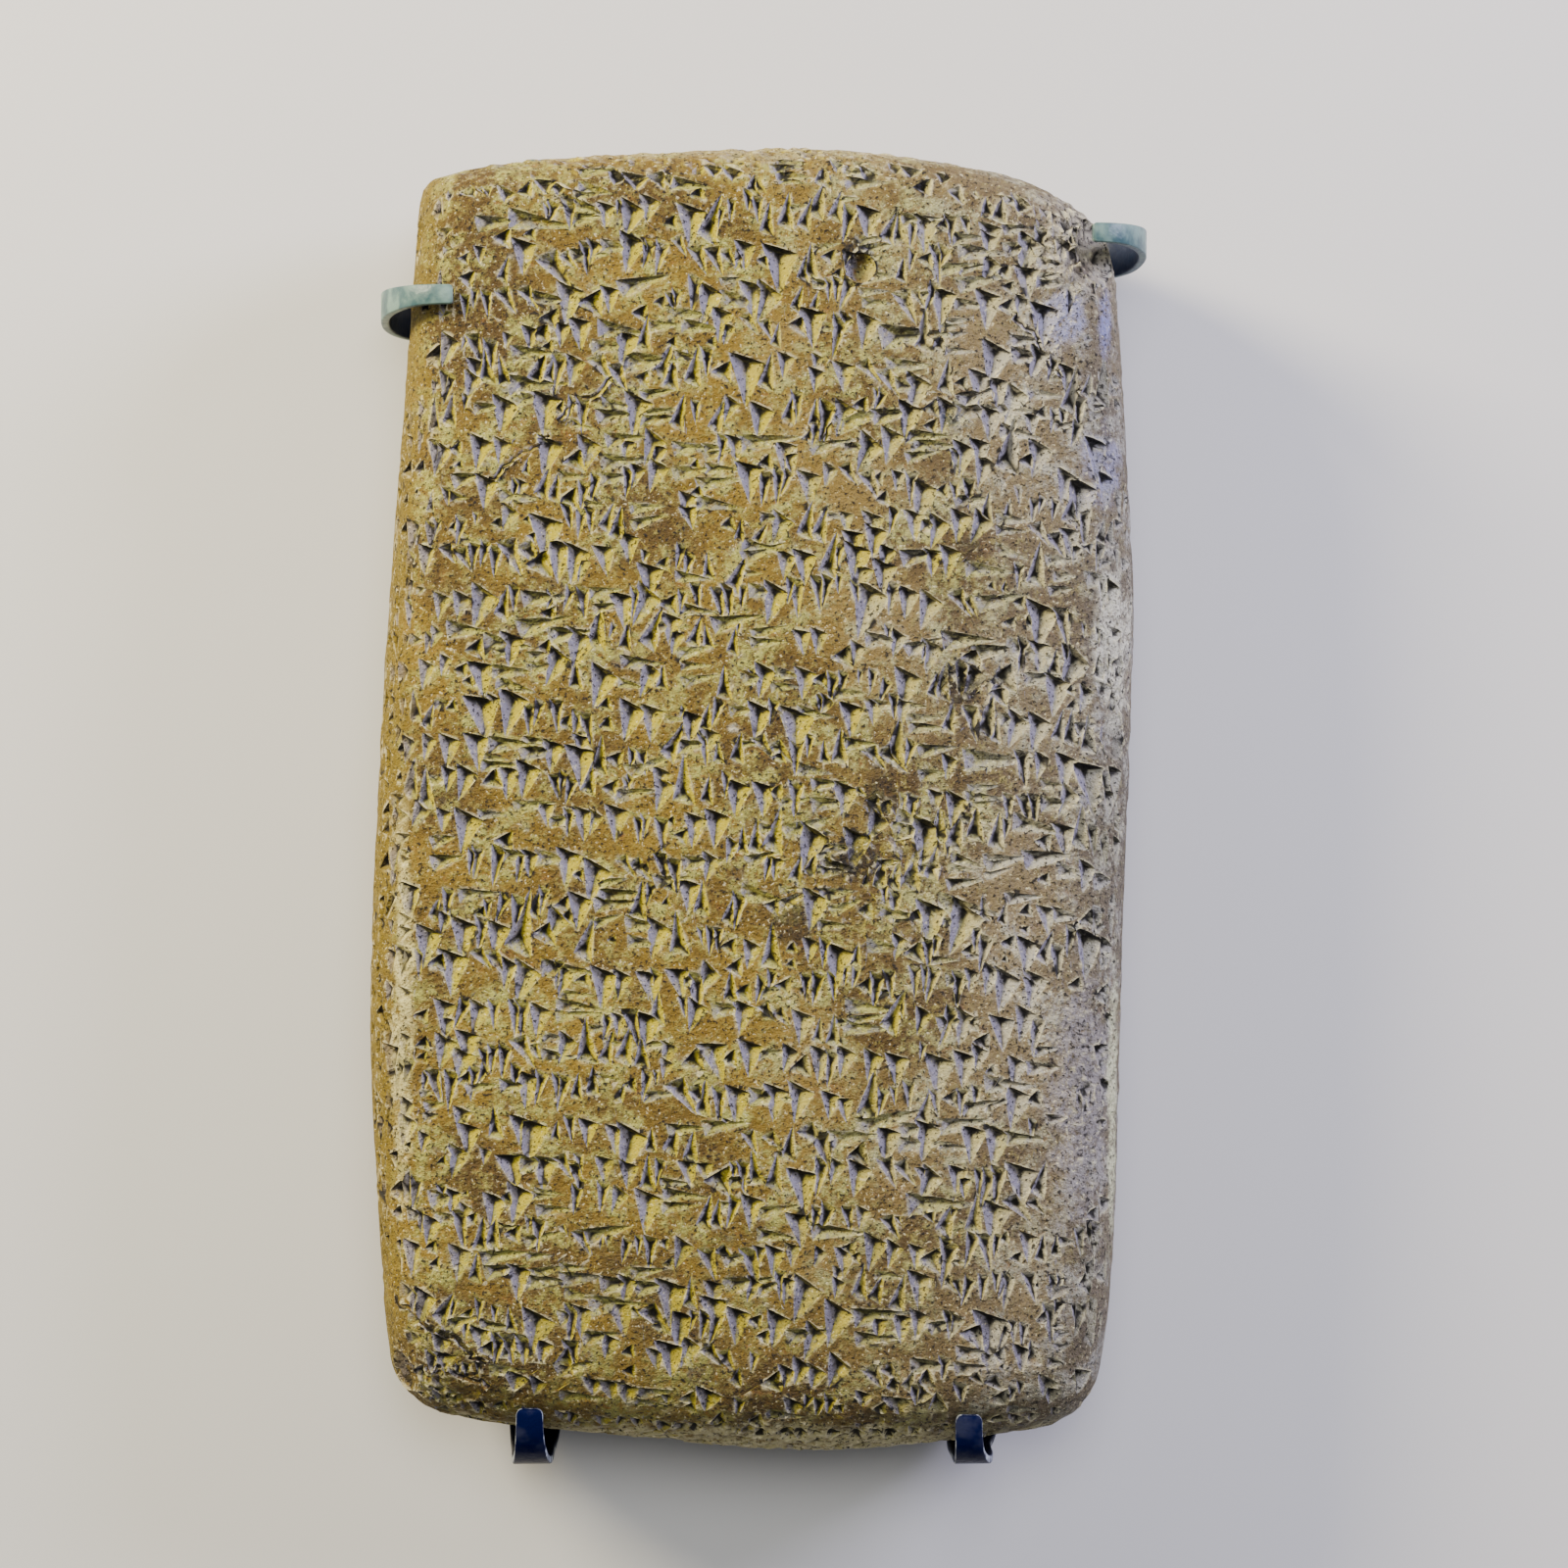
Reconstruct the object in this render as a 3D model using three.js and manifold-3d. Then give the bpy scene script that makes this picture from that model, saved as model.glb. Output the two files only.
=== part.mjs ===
// A letter-sized clay tablet covered in wedge strokes, lying on its back, with the four metal claws that grip its rim.
// Units are millimetres. +X is the tablet's right, +Y its top, and +Z points up out of the written face.
// The origin is the middle of the flat spot on the back that the tablet lies on.

import * as THREE from "three";
import { mergeVertices } from "three/addons/utils/BufferGeometryUtils.js";
import Module from "manifold-3d";

const wasm = await Module();
wasm.setup();

// Sizes of the clay body
const HEIGHT = 158;
const WIDTH = 93;
const THICKNESS = 28;
const WIDEST_LEVEL = 13;
const FACE_CROWN = 1.6;
const BACK_CROWN = 3;
const FLAT_SPOT_CUT = 0.5;
const UNEVENNESS = 0.3;

// Each side's shoulder: how far in from the rim the surface is still rising, and how square its curve is
const FACE_SHOULDERS = {
  left: { reach: 9, power: 2.6 },
  right: { reach: 11, power: 2.7 },
  top: { reach: 8, power: 3 },
  bottom: { reach: 13, power: 2.4 },
};
const BACK_SHOULDERS = {
  left: { reach: 15, power: 2.3 },
  right: { reach: 15, power: 2.3 },
  top: { reach: 14, power: 2.4 },
  bottom: { reach: 15, power: 2.3 },
};

// The outline seen from above, each side as [place along the side, distance out], both as shares of the half size
const LEFT_SIDE = [[-1, -0.945], [-0.73, -0.977], [-0.38, -1], [0.03, -0.977], [0.33, -0.948], [1, -0.868]];
const RIGHT_SIDE = [[-1, 0.9], [-0.73, 0.946], [-0.12, 0.974], [0.33, 1], [0.63, 0.98], [1, 0.945]];
const BOTTOM_SIDE = [[-1, -0.9], [-0.85, -0.939], [-0.47, -0.968], [0.2, -1], [0.84, -0.97], [1, -0.94]];
const TOP_SIDE = [[-1, 0.947], [-0.7, 0.977], [-0.06, 0.998], [0.2, 1], [0.7, 0.957], [1, 0.88]];
const CORNER_RADIUS = { topLeft: 2.2, topRight: 5, bottomLeft: 4, bottomRight: 5 };

// The mesh of the clay body: lines crowd towards the rim, where the surface turns over
const RIM_LINES = 7;
const RIM_CROWDING = 2.2;
const MIDDLE_SPACING = 10.5;

// The writing: rows of pressed wedges. Each kind has its head's width, its length and its depth.
const ROW_PITCH = 4.55;
const SIGN_PITCH = 7.4;
const TOP_MARGIN = 4.4;
const BOTTOM_MARGIN = 2.6;
const LEFT_MARGIN = 3.6;
const RIGHT_MARGIN = 6.2;
const ROW_WAVE = 0.35;
const SIZE_SPREAD = 0.16;
const PLACE_SPREAD = 0.3;
const TURN_SPREAD = 7;
const CUTTER_LIFT = 0.5;
const WRITING_SEED = 41;
const STROKES = {
  upright: { head: 3.4, tail: 4.1, depth: 1.1, lean: 0.14, turn: 4 },
  level: { head: 2.2, tail: 4.8, depth: 0.85, lean: 0.05, turn: 92 },
  hook: { head: 3.3, tail: 2.4, depth: 1, lean: 0.1, turn: 76 },
  slanting: { head: 2.6, tail: 4.3, depth: 0.9, lean: 0.1, turn: 38 },
};
const HEAD_SLOPE = 0.22;
const DENT_ALONG = 0.2;
const TAIL_SHIFT = 0.12;

// Each sign is a few strokes at [across, up] from the middle of its place, in millimetres
const SIGNS = [
  [["upright", 0, 1.9]],
  [["hook", -1.6, 0.2], ["upright", 1.7, 1.8]],
  [["level", -2.7, 0.3]],
  [["slanting", -1.5, 1.7]],
  [["upright", 0.4, 1.9]],
];

// Broken places: where they are across and up the face, the radius of the bite and how deep it goes
const CHIPS = {
  brokenCorner: { across: 0.93, up: 0.93, radius: 9, bite: 1.8 },
  rightEdgeBreak: { across: 0.93, up: 0.14, radius: 5, bite: 1 },
  leftTopNick: { across: -0.99, up: 0.9, radius: 4, bite: 0.8 },
  lowerLeftWear: { across: -0.96, up: -0.95, radius: 7, bite: 1.2 },
  lowerRightNick: { across: 0.99, up: -0.98, radius: 6, bite: 1.1 },
  pit: { across: 0.24, up: 0.83, radius: 1.7, bite: 1.5 },
};
const CHIP_ROUGHNESS = 0.16;
const CHIP_SEED = 7;

// The claws: bent metal strips that close round the rim. Their bend is an oval, squarer as its power grows.
// Each stands off the rim by its bulge, and its rear end drifts along the rim from where its tip is.
const CLAW_CLEARANCE = 0.32;
const CLAW_THICKNESS = 1;
const CLAW_EDGE = 0.25;
const CLAW_STATIONS = 8;
const REAR_OVERLAP = 5;
const SIDE_CLAW = { tipWidth: 2.3, width: 4.8, power: 2.6 };
const FOOT_CLAW = { tipWidth: 3.2, width: 6.6, power: 4 };
const CLAW_TAPER = 0.9;
const CLAWS = {
  claw_upper_left: { side: "left", belowTop: 19.5, overlap: 5.8, bulge: 1.9, drift: -0.6 },
  claw_upper_right: { side: "right", belowTop: 11.5, overlap: 4.9, bulge: 1.9, drift: -0.3 },
  claw_lower_left: { side: "bottom", offMiddle: -27, overlap: 4.25, bulge: 2.3, drift: 0.6 },
  claw_lower_right: { side: "bottom", offMiddle: 25, overlap: 5.4, bulge: 0.5, drift: 3.2 },
};

const clayMaterial = new THREE.MeshStandardMaterial({ color: 0x8c7c50, roughness: 0.82, metalness: 0 });
const greyPaint = new THREE.MeshStandardMaterial({ color: 0x8f9c9a, roughness: 0.45, metalness: 0.2 });
const navyPaint = new THREE.MeshStandardMaterial({ color: 0x27304a, roughness: 0.25, metalness: 0.2 });

const halfWidth = WIDTH / 2;
const halfHeight = HEIGHT / 2;
const everyShoulder = [...Object.values(FACE_SHOULDERS), ...Object.values(BACK_SHOULDERS)];
const rimBand = Math.max(...everyShoulder.map(({ reach }) => reach));

// A small repeatable random sequence between 0 and 1
function seededRandom(seed) {
  let state = seed;
  return () => {
    state = (state + 0x6d2b79f5) | 0;
    let mixed = Math.imul(state ^ (state >>> 15), state | 1);
    mixed ^= mixed + Math.imul(mixed ^ (mixed >>> 7), mixed | 61);
    return ((mixed ^ (mixed >>> 14)) >>> 0) / 2 ** 32;
  };
}

// A smooth function through the given [place, value] stations
function smoothThrough(stations) {
  const slope = (i) => {
    const before = stations[Math.max(i - 1, 0)];
    const after = stations[Math.min(i + 1, stations.length - 1)];
    return (after[1] - before[1]) / (after[0] - before[0]);
  };
  return (place) => {
    let i = 0;
    while (i < stations.length - 2 && place > stations[i + 1][0]) i += 1;
    const [start, from] = stations[i];
    const [end, to] = stations[i + 1];
    const span = end - start;
    const u = THREE.MathUtils.clamp((place - start) / span, 0, 1);
    const rise = (1 - u) ** 2 * (1 + 2 * u) * from + u ** 2 * (3 - 2 * u) * to;
    return rise + span * (u * (1 - u) ** 2 * slope(i) - u ** 2 * (1 - u) * slope(i + 1));
  };
}

const leftSide = smoothThrough(LEFT_SIDE);
const rightSide = smoothThrough(RIGHT_SIDE);
const bottomSide = smoothThrough(BOTTOM_SIDE);
const topSide = smoothThrough(TOP_SIDE);

const widthAt = (up) => (rightSide(up) - leftSide(up)) * halfWidth;
const heightAt = (across) => (topSide(across) - bottomSide(across)) * halfHeight;

function cornerRadius(across, up) {
  if (up > 0) return across < 0 ? CORNER_RADIUS.topLeft : CORNER_RADIUS.topRight;
  return across < 0 ? CORNER_RADIUS.bottomLeft : CORNER_RADIUS.bottomRight;
}

// How far the surface has risen from the rim's widest line towards its full height, from 0 to 1
function fullness(across, up, shoulders) {
  const distances = {
    left: ((1 + across) / 2) * widthAt(up),
    right: ((1 - across) / 2) * widthAt(up),
    bottom: ((1 + up) / 2) * heightAt(across),
    top: ((1 - up) / 2) * heightAt(across),
  };
  return Object.entries(shoulders).reduce((product, [side, { reach, power }]) => {
    const outside = 1 - Math.min(Math.max(distances[side], 0) / reach, 1);
    return product * (1 - outside ** power) ** (1 / power);
  }, 1);
}

// A point of the clay's surface. across and up run from -1 to 1 between the four sides.
function clayPoint(across, up, onFace) {
  const x = THREE.MathUtils.lerp(leftSide(up), rightSide(up), (across + 1) / 2) * halfWidth;
  const y = THREE.MathUtils.lerp(bottomSide(across), topSide(across), (up + 1) / 2) * halfHeight;
  const radius = cornerRadius(across, up);
  const pull = radius * (1 - Math.SQRT1_2)
    * Math.abs(across) ** (WIDTH / radius) * Math.abs(up) ** (HEIGHT / radius);
  const crown = (1 - across ** 2) * (1 - up ** 2);
  const wave = Math.sin(4.1 * across + 1.3 * up + 0.6) * Math.cos(5.3 * up - 1.7 * across);
  const full = fullness(across, up, onFace ? FACE_SHOULDERS : BACK_SHOULDERS);
  const faceRise = THICKNESS - WIDEST_LEVEL - FACE_CROWN * (1 - crown) + UNEVENNESS * wave;
  const backDrop = WIDEST_LEVEL + FLAT_SPOT_CUT - BACK_CROWN * (1 - crown);
  return new THREE.Vector3(
    x - Math.sign(across) * pull,
    y - Math.sign(up) * pull,
    WIDEST_LEVEL + (onFace ? faceRise : -backDrop) * full,
  );
}

// The surface point at a distance in millimetres from a starting place, and the way out of the clay there
function clayPointNear(across, up, dx, dy) {
  return clayPoint(across + (2 * dx) / widthAt(up), up + (2 * dy) / heightAt(across), true);
}

function clayNormal(across, up) {
  const step = 0.4;
  const alongX = clayPointNear(across, up, step, 0).sub(clayPointNear(across, up, -step, 0));
  const alongY = clayPointNear(across, up, 0, step).sub(clayPointNear(across, up, 0, -step));
  return alongX.cross(alongY).normalize();
}

function solidFromGeometry(geometry) {
  geometry.deleteAttribute("normal");
  geometry.deleteAttribute("uv");
  const merged = mergeVertices(geometry);
  return new wasm.Manifold(new wasm.Mesh({
    numProp: 3,
    vertProperties: new Float32Array(merged.attributes.position.array),
    triVerts: new Uint32Array(merged.index.array),
  }));
}

function geometryFromSolid(solid) {
  const mesh = solid.getMesh();
  const geometry = new THREE.BufferGeometry();
  geometry.setAttribute("position", new THREE.BufferAttribute(new Float32Array(mesh.vertProperties), 3));
  geometry.setIndex(new THREE.BufferAttribute(new Uint32Array(mesh.triVerts), 1));
  geometry.computeVertexNormals();
  return geometry;
}

// A closed solid from corner points and faces, each face a loop of corner numbers seen from outside
function solidFromFaces(corners, faces) {
  const geometry = new THREE.BufferGeometry().setFromPoints(corners);
  const index = faces.flatMap((loop) => loop.slice(2).flatMap((last, i) => [loop[0], loop[i + 1], last]));
  geometry.setIndex(index);
  return solidFromGeometry(geometry);
}

// Places from -1 to 1 that crowd towards both ends
function meshLines(span) {
  const rim = Array.from({ length: RIM_LINES + 1 }, (_, i) => rimBand * (i / RIM_LINES) ** RIM_CROWDING);
  const middle = Math.round((span - 2 * rimBand) / MIDDLE_SPACING);
  const inner = Array.from({ length: middle - 1 }, (_, i) =>
    THREE.MathUtils.lerp(rimBand, span - rimBand, (i + 1) / middle));
  const distances = [...rim, ...inner, ...rim.map((distance) => span - distance).reverse()];
  return distances.map((distance) => (2 * distance) / span - 1);
}

// The smooth clay body: a face sheet and a back sheet that share their rim
function clayBody() {
  const columns = meshLines(WIDTH);
  const rows = meshLines(HEIGHT);
  const corners = [];
  const faces = [];
  for (const onFace of [true, false]) {
    const first = corners.length;
    for (const up of rows) for (const across of columns) corners.push(clayPoint(across, up, onFace));
    for (let j = 0; j < rows.length - 1; j += 1) {
      for (let i = 0; i < columns.length - 1; i += 1) {
        const a = first + j * columns.length + i;
        const d = a + columns.length;
        const towardsCorner = (i < columns.length / 2) === (j < rows.length / 2);
        const halves = towardsCorner ? [[a, a + 1, d + 1], [a, d + 1, d]] : [[a, a + 1, d], [a + 1, d + 1, d]];
        faces.push(...halves.map((half) => (onFace ? half : [...half].reverse())));
      }
    }
  }
  return solidFromFaces(corners, faces);
}

// A pressed wedge: a triangle on the surface whose walls meet at one deep point under its head
function strokeCutter(across, up, kind, size, turn) {
  const { head, tail, depth, lean } = STROKES[kind];
  const spot = (x, y) => {
    const angle = THREE.MathUtils.degToRad(turn);
    const px = x * size;
    const py = y * size;
    const dx = px * Math.cos(angle) - py * Math.sin(angle);
    const dy = px * Math.sin(angle) + py * Math.cos(angle);
    return clayPointNear(across, up, dx, dy);
  };
  const normal = clayNormal(across, up);
  const dent = spot(head * lean, -tail * DENT_ALONG).addScaledVector(normal, -depth);
  const corners = [
    spot(-head / 2, 0),
    spot(head / 2, -head * HEAD_SLOPE),
    spot(-head * TAIL_SHIFT, -tail),
  ].map((corner) => corner.sub(dent).multiplyScalar((depth + CUTTER_LIFT) / depth).add(dent));
  return solidFromFaces([...corners, dent], [[0, 2, 1], [0, 1, 3], [1, 2, 3], [2, 0, 3]]);
}

// All the strokes: rows follow the curved top and bottom, and signs follow each other along a row
function writingCutters() {
  const random = seededRandom(WRITING_SEED);
  const spread = (amount) => (random() * 2 - 1) * amount;
  const rowCount = Math.floor((HEIGHT - TOP_MARGIN - BOTTOM_MARGIN) / ROW_PITCH);
  const signCount = Math.floor((WIDTH - LEFT_MARGIN - RIGHT_MARGIN) / SIGN_PITCH);
  const cutters = [];
  for (let row = 0; row < rowCount; row += 1) {
    for (let place = 0; place < signCount; place += 1) {
      const fromLeft = LEFT_MARGIN + (place + 0.5) * SIGN_PITCH + spread(PLACE_SPREAD);
      const fromTop = TOP_MARGIN + (row + 0.5) * ROW_PITCH + ROW_WAVE * Math.sin(place * 0.7 + row);
      const sign = SIGNS[Math.floor(random() * SIGNS.length)];
      for (const [kind, dx, dy] of sign) {
        const across = (2 * (fromLeft + dx)) / WIDTH - 1;
        const up = 1 - (2 * (fromTop - dy)) / HEIGHT;
        const size = 1 + spread(SIZE_SPREAD);
        cutters.push(strokeCutter(across, up, kind, size, STROKES[kind].turn + spread(TURN_SPREAD)));
      }
    }
  }
  return cutters;
}

// A rough ball that bites a broken place out of the clay
function chipCutter({ across, up, radius, bite }, random) {
  const ball = new THREE.IcosahedronGeometry(radius, 1);
  ball.deleteAttribute("normal");
  ball.deleteAttribute("uv");
  const rough = mergeVertices(ball);
  const centre = clayPoint(across, up, true).addScaledVector(clayNormal(across, up), radius - bite);
  const position = rough.attributes.position;
  for (let i = 0; i < position.count; i += 1) {
    const point = new THREE.Vector3().fromBufferAttribute(position, i);
    point.multiplyScalar(1 + CHIP_ROUGHNESS * (random() - 0.5)).add(centre);
    position.setXYZ(i, point.x, point.y, point.z);
  }
  return solidFromGeometry(rough);
}

// Everything below the table, which the flat spot is cut off by
function belowTable() {
  const depth = 4 * FLAT_SPOT_CUT;
  return solidFromGeometry(new THREE.BoxGeometry(2 * WIDTH, 2 * HEIGHT, depth).translate(0, 0, -depth / 2));
}

// The written tablet. A crumb that the cuts part from the body falls away.
function tabletGeometry() {
  const random = seededRandom(CHIP_SEED);
  const chips = Object.values(CHIPS).map((chip) => chipCutter(chip, random));
  const cut = wasm.Manifold.union([...chips, ...writingCutters(), belowTable()]);
  const bodies = clayBody().subtract(cut).decompose();
  bodies.sort((one, other) => other.volume() - one.volume());
  return geometryFromSolid(bodies[0]);
}

// Where a claw grips the clay: its bend's middle points in a plane square to the rim, as [distance out, height]
function clawBend({ side, overlap, bulge, drift }, middle, power) {
  const isFoot = side === "bottom";
  const sign = side === "right" ? 1 : -1;
  const gripAt = (inside, onFace, along) => {
    const station = (middle + drift * along) / (isFoot ? halfWidth : halfHeight);
    const span = isFoot ? heightAt(station) : widthAt(station);
    const share = sign * (1 - (2 * inside) / span);
    const point = isFoot ? clayPoint(station, share, onFace) : clayPoint(share, station, onFace);
    return new THREE.Vector2(sign * (isFoot ? point.y : point.x), point.z);
  };
  const rim = gripAt(0, true, 0.5);
  const quarter = (tip) => Array.from({ length: CLAW_STATIONS }, (_, i) => {
    const angle = (Math.PI / 2) * (1 - i / CLAW_STATIONS);
    return new THREE.Vector2(
      THREE.MathUtils.lerp(tip.x, rim.x, Math.cos(angle) ** (2 / power)),
      THREE.MathUtils.lerp(rim.y, tip.y, Math.sin(angle) ** (2 / power)),
    );
  });
  const rear = quarter(gripAt(REAR_OVERLAP, false, 1)).reverse();
  const bend = [...quarter(gripAt(overlap, true, 0)), rim, ...rear];
  const last = bend.length - 1;
  return bend.map((point, i) => {
    const along = bend[Math.min(i + 1, last)].clone().sub(bend[Math.max(i - 1, 0)]).normalize();
    const outward = new THREE.Vector2(-along.y, along.x);
    const standOff = CLAW_CLEARANCE + CLAW_THICKNESS / 2 + bulge * Math.sin((Math.PI * i) / last) ** 2;
    return { point: point.clone().addScaledVector(outward, standOff), outward };
  });
}

// The corners of a strip's section with its edges taken off, as [sideways, outward]
function stripSection(width) {
  const half = width / 2;
  const thick = CLAW_THICKNESS / 2;
  const quarter = [[half, thick - CLAW_EDGE], [half - CLAW_EDGE, thick]];
  const front = [...quarter, ...quarter.map(([sideways, out]) => [-sideways, out]).reverse()];
  return [...front, ...front.map(([sideways, out]) => [-sideways, -out])];
}

// A bent strip that follows its bend with its edges taken off
function clawGeometry(claw) {
  const isFoot = claw.side === "bottom";
  const shape = isFoot ? FOOT_CLAW : SIDE_CLAW;
  const middle = isFoot ? claw.offMiddle : halfHeight - claw.belowTop;
  const bend = clawBend(claw, middle, shape.power);
  const last = bend.length - 1;
  const corners = bend.flatMap(({ point, outward }, i) => {
    const widening = THREE.MathUtils.smoothstep(i / last, 0, CLAW_TAPER);
    const place = middle + claw.drift * THREE.MathUtils.smoothstep(i / last, 0, 1);
    return stripSection(THREE.MathUtils.lerp(shape.tipWidth, shape.width, widening)).map(([sideways, up]) => {
      const out = point.x + outward.x * up;
      const height = point.y + outward.y * up;
      if (isFoot) return new THREE.Vector3(place + sideways, -out, height);
      return new THREE.Vector3(claw.side === "right" ? out : -out, place + sideways, height);
    });
  });
  const sides = corners.length / bend.length;
  const firstCap = Array.from({ length: sides }, (_, k) => k);
  const walls = bend.slice(1).flatMap((_, i) => firstCap.map((k) => {
    const next = (k + 1) % sides;
    return [i * sides + k, (i + 1) * sides + k, (i + 1) * sides + next, i * sides + next];
  }));
  const faces = [...walls, firstCap, firstCap.map((k) => last * sides + k).reverse()];
  const facesOut = claw.side === "left" ? faces : faces.map((loop) => [...loop].reverse());
  return geometryFromSolid(solidFromFaces(corners, facesOut));
}

function namedMesh(name, geometry, material) {
  const mesh = new THREE.Mesh(geometry, material);
  mesh.name = name;
  return mesh;
}

const group = new THREE.Group();
group.add(namedMesh("tablet", tabletGeometry(), clayMaterial));
for (const [name, claw] of Object.entries(CLAWS)) {
  group.add(namedMesh(name, clawGeometry(claw), claw.side === "bottom" ? navyPaint : greyPaint));
}

export default group;
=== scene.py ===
"""The finished look of a letter-sized clay tablet and the four bent claws that grip its rim.

The tablet lies on its back with its written face up. Sizes are in millimetres and become metres when
a mesh is made. A place on the clay is given as (across, up), each from -1 to 1 between the tablet's
sides and ends.
"""

import logging
import math
from collections.abc import Callable, Iterable, Iterator, Sequence
from contextlib import contextmanager
from dataclasses import dataclass, field
from enum import Enum

import bmesh
import bpy
import numpy as np
from mathutils import Euler, Matrix, Vector, noise
from mathutils.bvhtree import BVHTree


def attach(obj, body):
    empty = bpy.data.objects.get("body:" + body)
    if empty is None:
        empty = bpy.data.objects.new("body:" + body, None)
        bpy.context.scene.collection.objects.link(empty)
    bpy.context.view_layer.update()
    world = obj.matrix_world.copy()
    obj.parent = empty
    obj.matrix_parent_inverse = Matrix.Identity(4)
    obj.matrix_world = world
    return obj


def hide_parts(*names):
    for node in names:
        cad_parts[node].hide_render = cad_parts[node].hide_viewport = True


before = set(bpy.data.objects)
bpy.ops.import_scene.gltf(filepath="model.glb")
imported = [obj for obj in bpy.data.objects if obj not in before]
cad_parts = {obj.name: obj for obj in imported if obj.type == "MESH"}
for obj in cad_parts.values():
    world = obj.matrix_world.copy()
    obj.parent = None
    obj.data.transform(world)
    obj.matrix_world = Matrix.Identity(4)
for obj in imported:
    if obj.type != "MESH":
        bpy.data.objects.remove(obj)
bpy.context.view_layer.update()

MM = 0.001
# How much finer each layer of cloudy noise is than the one before.
LAYER_STEP = 2.0
# The value that a finish's noise lies about.
NOISE_MIDDLE = 0.5
# The power that makes the rubbed areas' outlines nearly square.
SQUARENESS = 4
# The two ends of a span, or a place and its value.
Range = tuple[float, float]
LOG = logging.getLogger("tablet")


def linear(colour: str) -> tuple[float, float, float, float]:
    """Turn a colour as seen on screen, by the sRGB curve, into the light values that a shader takes.

    Args:
        colour: six hexadecimal digits, red first.

    Returns:
        Red, green, blue and an alpha of 1.
    """
    shares = [int(colour[i:i + 2], 16) / 255 for i in (0, 2, 4)]
    red, green, blue = (s / 12.92 if s <= 0.04045 else ((s + 0.055) / 1.055) ** 2.4 for s in shares)
    return (red, green, blue, 1.0)


def smooth_through(stations: Sequence[Range]) -> Callable[[np.ndarray], np.ndarray]:
    """Make a smooth function through a few stations.

    Args:
        stations: places in rising order, each with its value.

    Returns:
        A function from an array of places to an array of values.
    """
    places = np.array([place for place, _ in stations])
    values = np.array([value for _, value in stations])
    before = np.maximum(np.arange(len(places)) - 1, 0)
    after = np.minimum(np.arange(len(places)) + 1, len(places) - 1)
    slopes = (values[after] - values[before]) / (places[after] - places[before])

    def curve(where: np.ndarray) -> np.ndarray:
        """Give the curve's value at each place.

        Args:
            where: the places.

        Returns:
            One value for each place.
        """
        i = np.clip(np.searchsorted(places, where) - 1, 0, len(places) - 2)
        span = places[i + 1] - places[i]
        u = np.clip((where - places[i]) / span, 0, 1)
        rise = (1 - u) ** 2 * (1 + 2 * u) * values[i] + u ** 2 * (3 - 2 * u) * values[i + 1]
        return rise + span * (u * (1 - u) ** 2 * slopes[i] - u ** 2 * (1 - u) * slopes[i + 1])

    return curve


def smooth_step(value: np.ndarray, low: float, high: float) -> np.ndarray:
    """Rise smoothly from 0 where a value is low to 1 where it is high."""
    share = np.clip((value - low) / (high - low), 0, 1)
    return share * share * (3 - 2 * share)


def lengths_along(line: np.ndarray) -> np.ndarray:
    """Measure how far along a line each of its points lies."""
    return np.concatenate([[0], np.cumsum(np.linalg.norm(np.diff(line, axis=0), axis=1))])


def new_object(name: str, data: bpy.types.ID) -> bpy.types.Object:
    """Put a mesh, a lamp or a camera into the scene as an object at the origin.

    Args:
        name: the object's name.
        data: what it shows.

    Returns:
        The new object.
    """
    made = bpy.data.objects.new(name, data)
    bpy.context.scene.collection.objects.link(made)
    return made


def new_path(name: str, line: np.ndarray) -> bpy.types.Object:
    """Put a bare line into the scene, for a tree to run a section along.

    Args:
        name: the object's name.
        line: one row of millimetres for each point.

    Returns:
        The new object.
    """
    mesh = bpy.data.meshes.new(name)
    mesh.from_pydata((line * MM).tolist(), [(i, i + 1) for i in range(len(line) - 1)], [])
    return new_object(name, mesh)


def mesh_from(name: str, points: np.ndarray, faces: Sequence[Sequence[int]]) -> bpy.types.Mesh:
    """Make a mesh in metres from points in millimetres.

    Args:
        name: the mesh's name.
        points: one row of x, y and z for each point.
        faces: loops of point numbers, seen from outside.

    Returns:
        The new mesh.
    """
    mesh = bpy.data.meshes.new(name)
    mesh.from_pydata((np.asarray(points) * MM).tolist(), [], [list(loop) for loop in faces])
    mesh.update()
    return mesh


def point_rows(mesh: bpy.types.Mesh, what: str) -> np.ndarray:
    """Read the places or the normals of a mesh's points.

    Args:
        mesh: the mesh.
        what: "co" or "normal".

    Returns:
        One row of three for each point.
    """
    flat = np.empty(len(mesh.vertices) * 3)
    mesh.vertices.foreach_get(what, flat)
    return flat.reshape(-1, 3)


def mesh_points(mesh: bpy.types.Mesh) -> np.ndarray:
    """Read a mesh's points as rows of millimetres."""
    return point_rows(mesh, "co") / MM


def move_points(mesh: bpy.types.Mesh, points: np.ndarray) -> None:
    """Move a mesh's points to new places in millimetres."""
    mesh.vertices.foreach_set("co", (points * MM).ravel())
    mesh.update()


def store(mesh: bpy.types.Mesh, name: str, kind: str, domain: str, values: Sequence) -> None:
    """Store values on a mesh for a tree or a finish to read.

    Args:
        mesh: the mesh.
        name: what they are read by.
        kind: their data type.
        domain: "POINT" or "CORNER".
        values: one for each point or corner.
    """
    entry = {"FLOAT_VECTOR": "vector", "FLOAT_COLOR": "color"}.get(kind, "value")
    numbers = np.array(values).astype(np.int32 if kind == "INT" else np.float32)
    mesh.attributes.new(name, kind, domain).data.foreach_set(entry, numbers.ravel())


@contextmanager
def opened(mesh: bpy.types.Mesh) -> Iterator[bmesh.types.BMesh]:
    """Open a mesh so that its edges and faces can be changed, and write it back at the end.

    Args:
        mesh: the mesh.

    Yields:
        Its open form.
    """
    shell = bmesh.new()
    shell.from_mesh(mesh)
    yield shell
    shell.to_mesh(mesh)
    shell.free()


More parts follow.
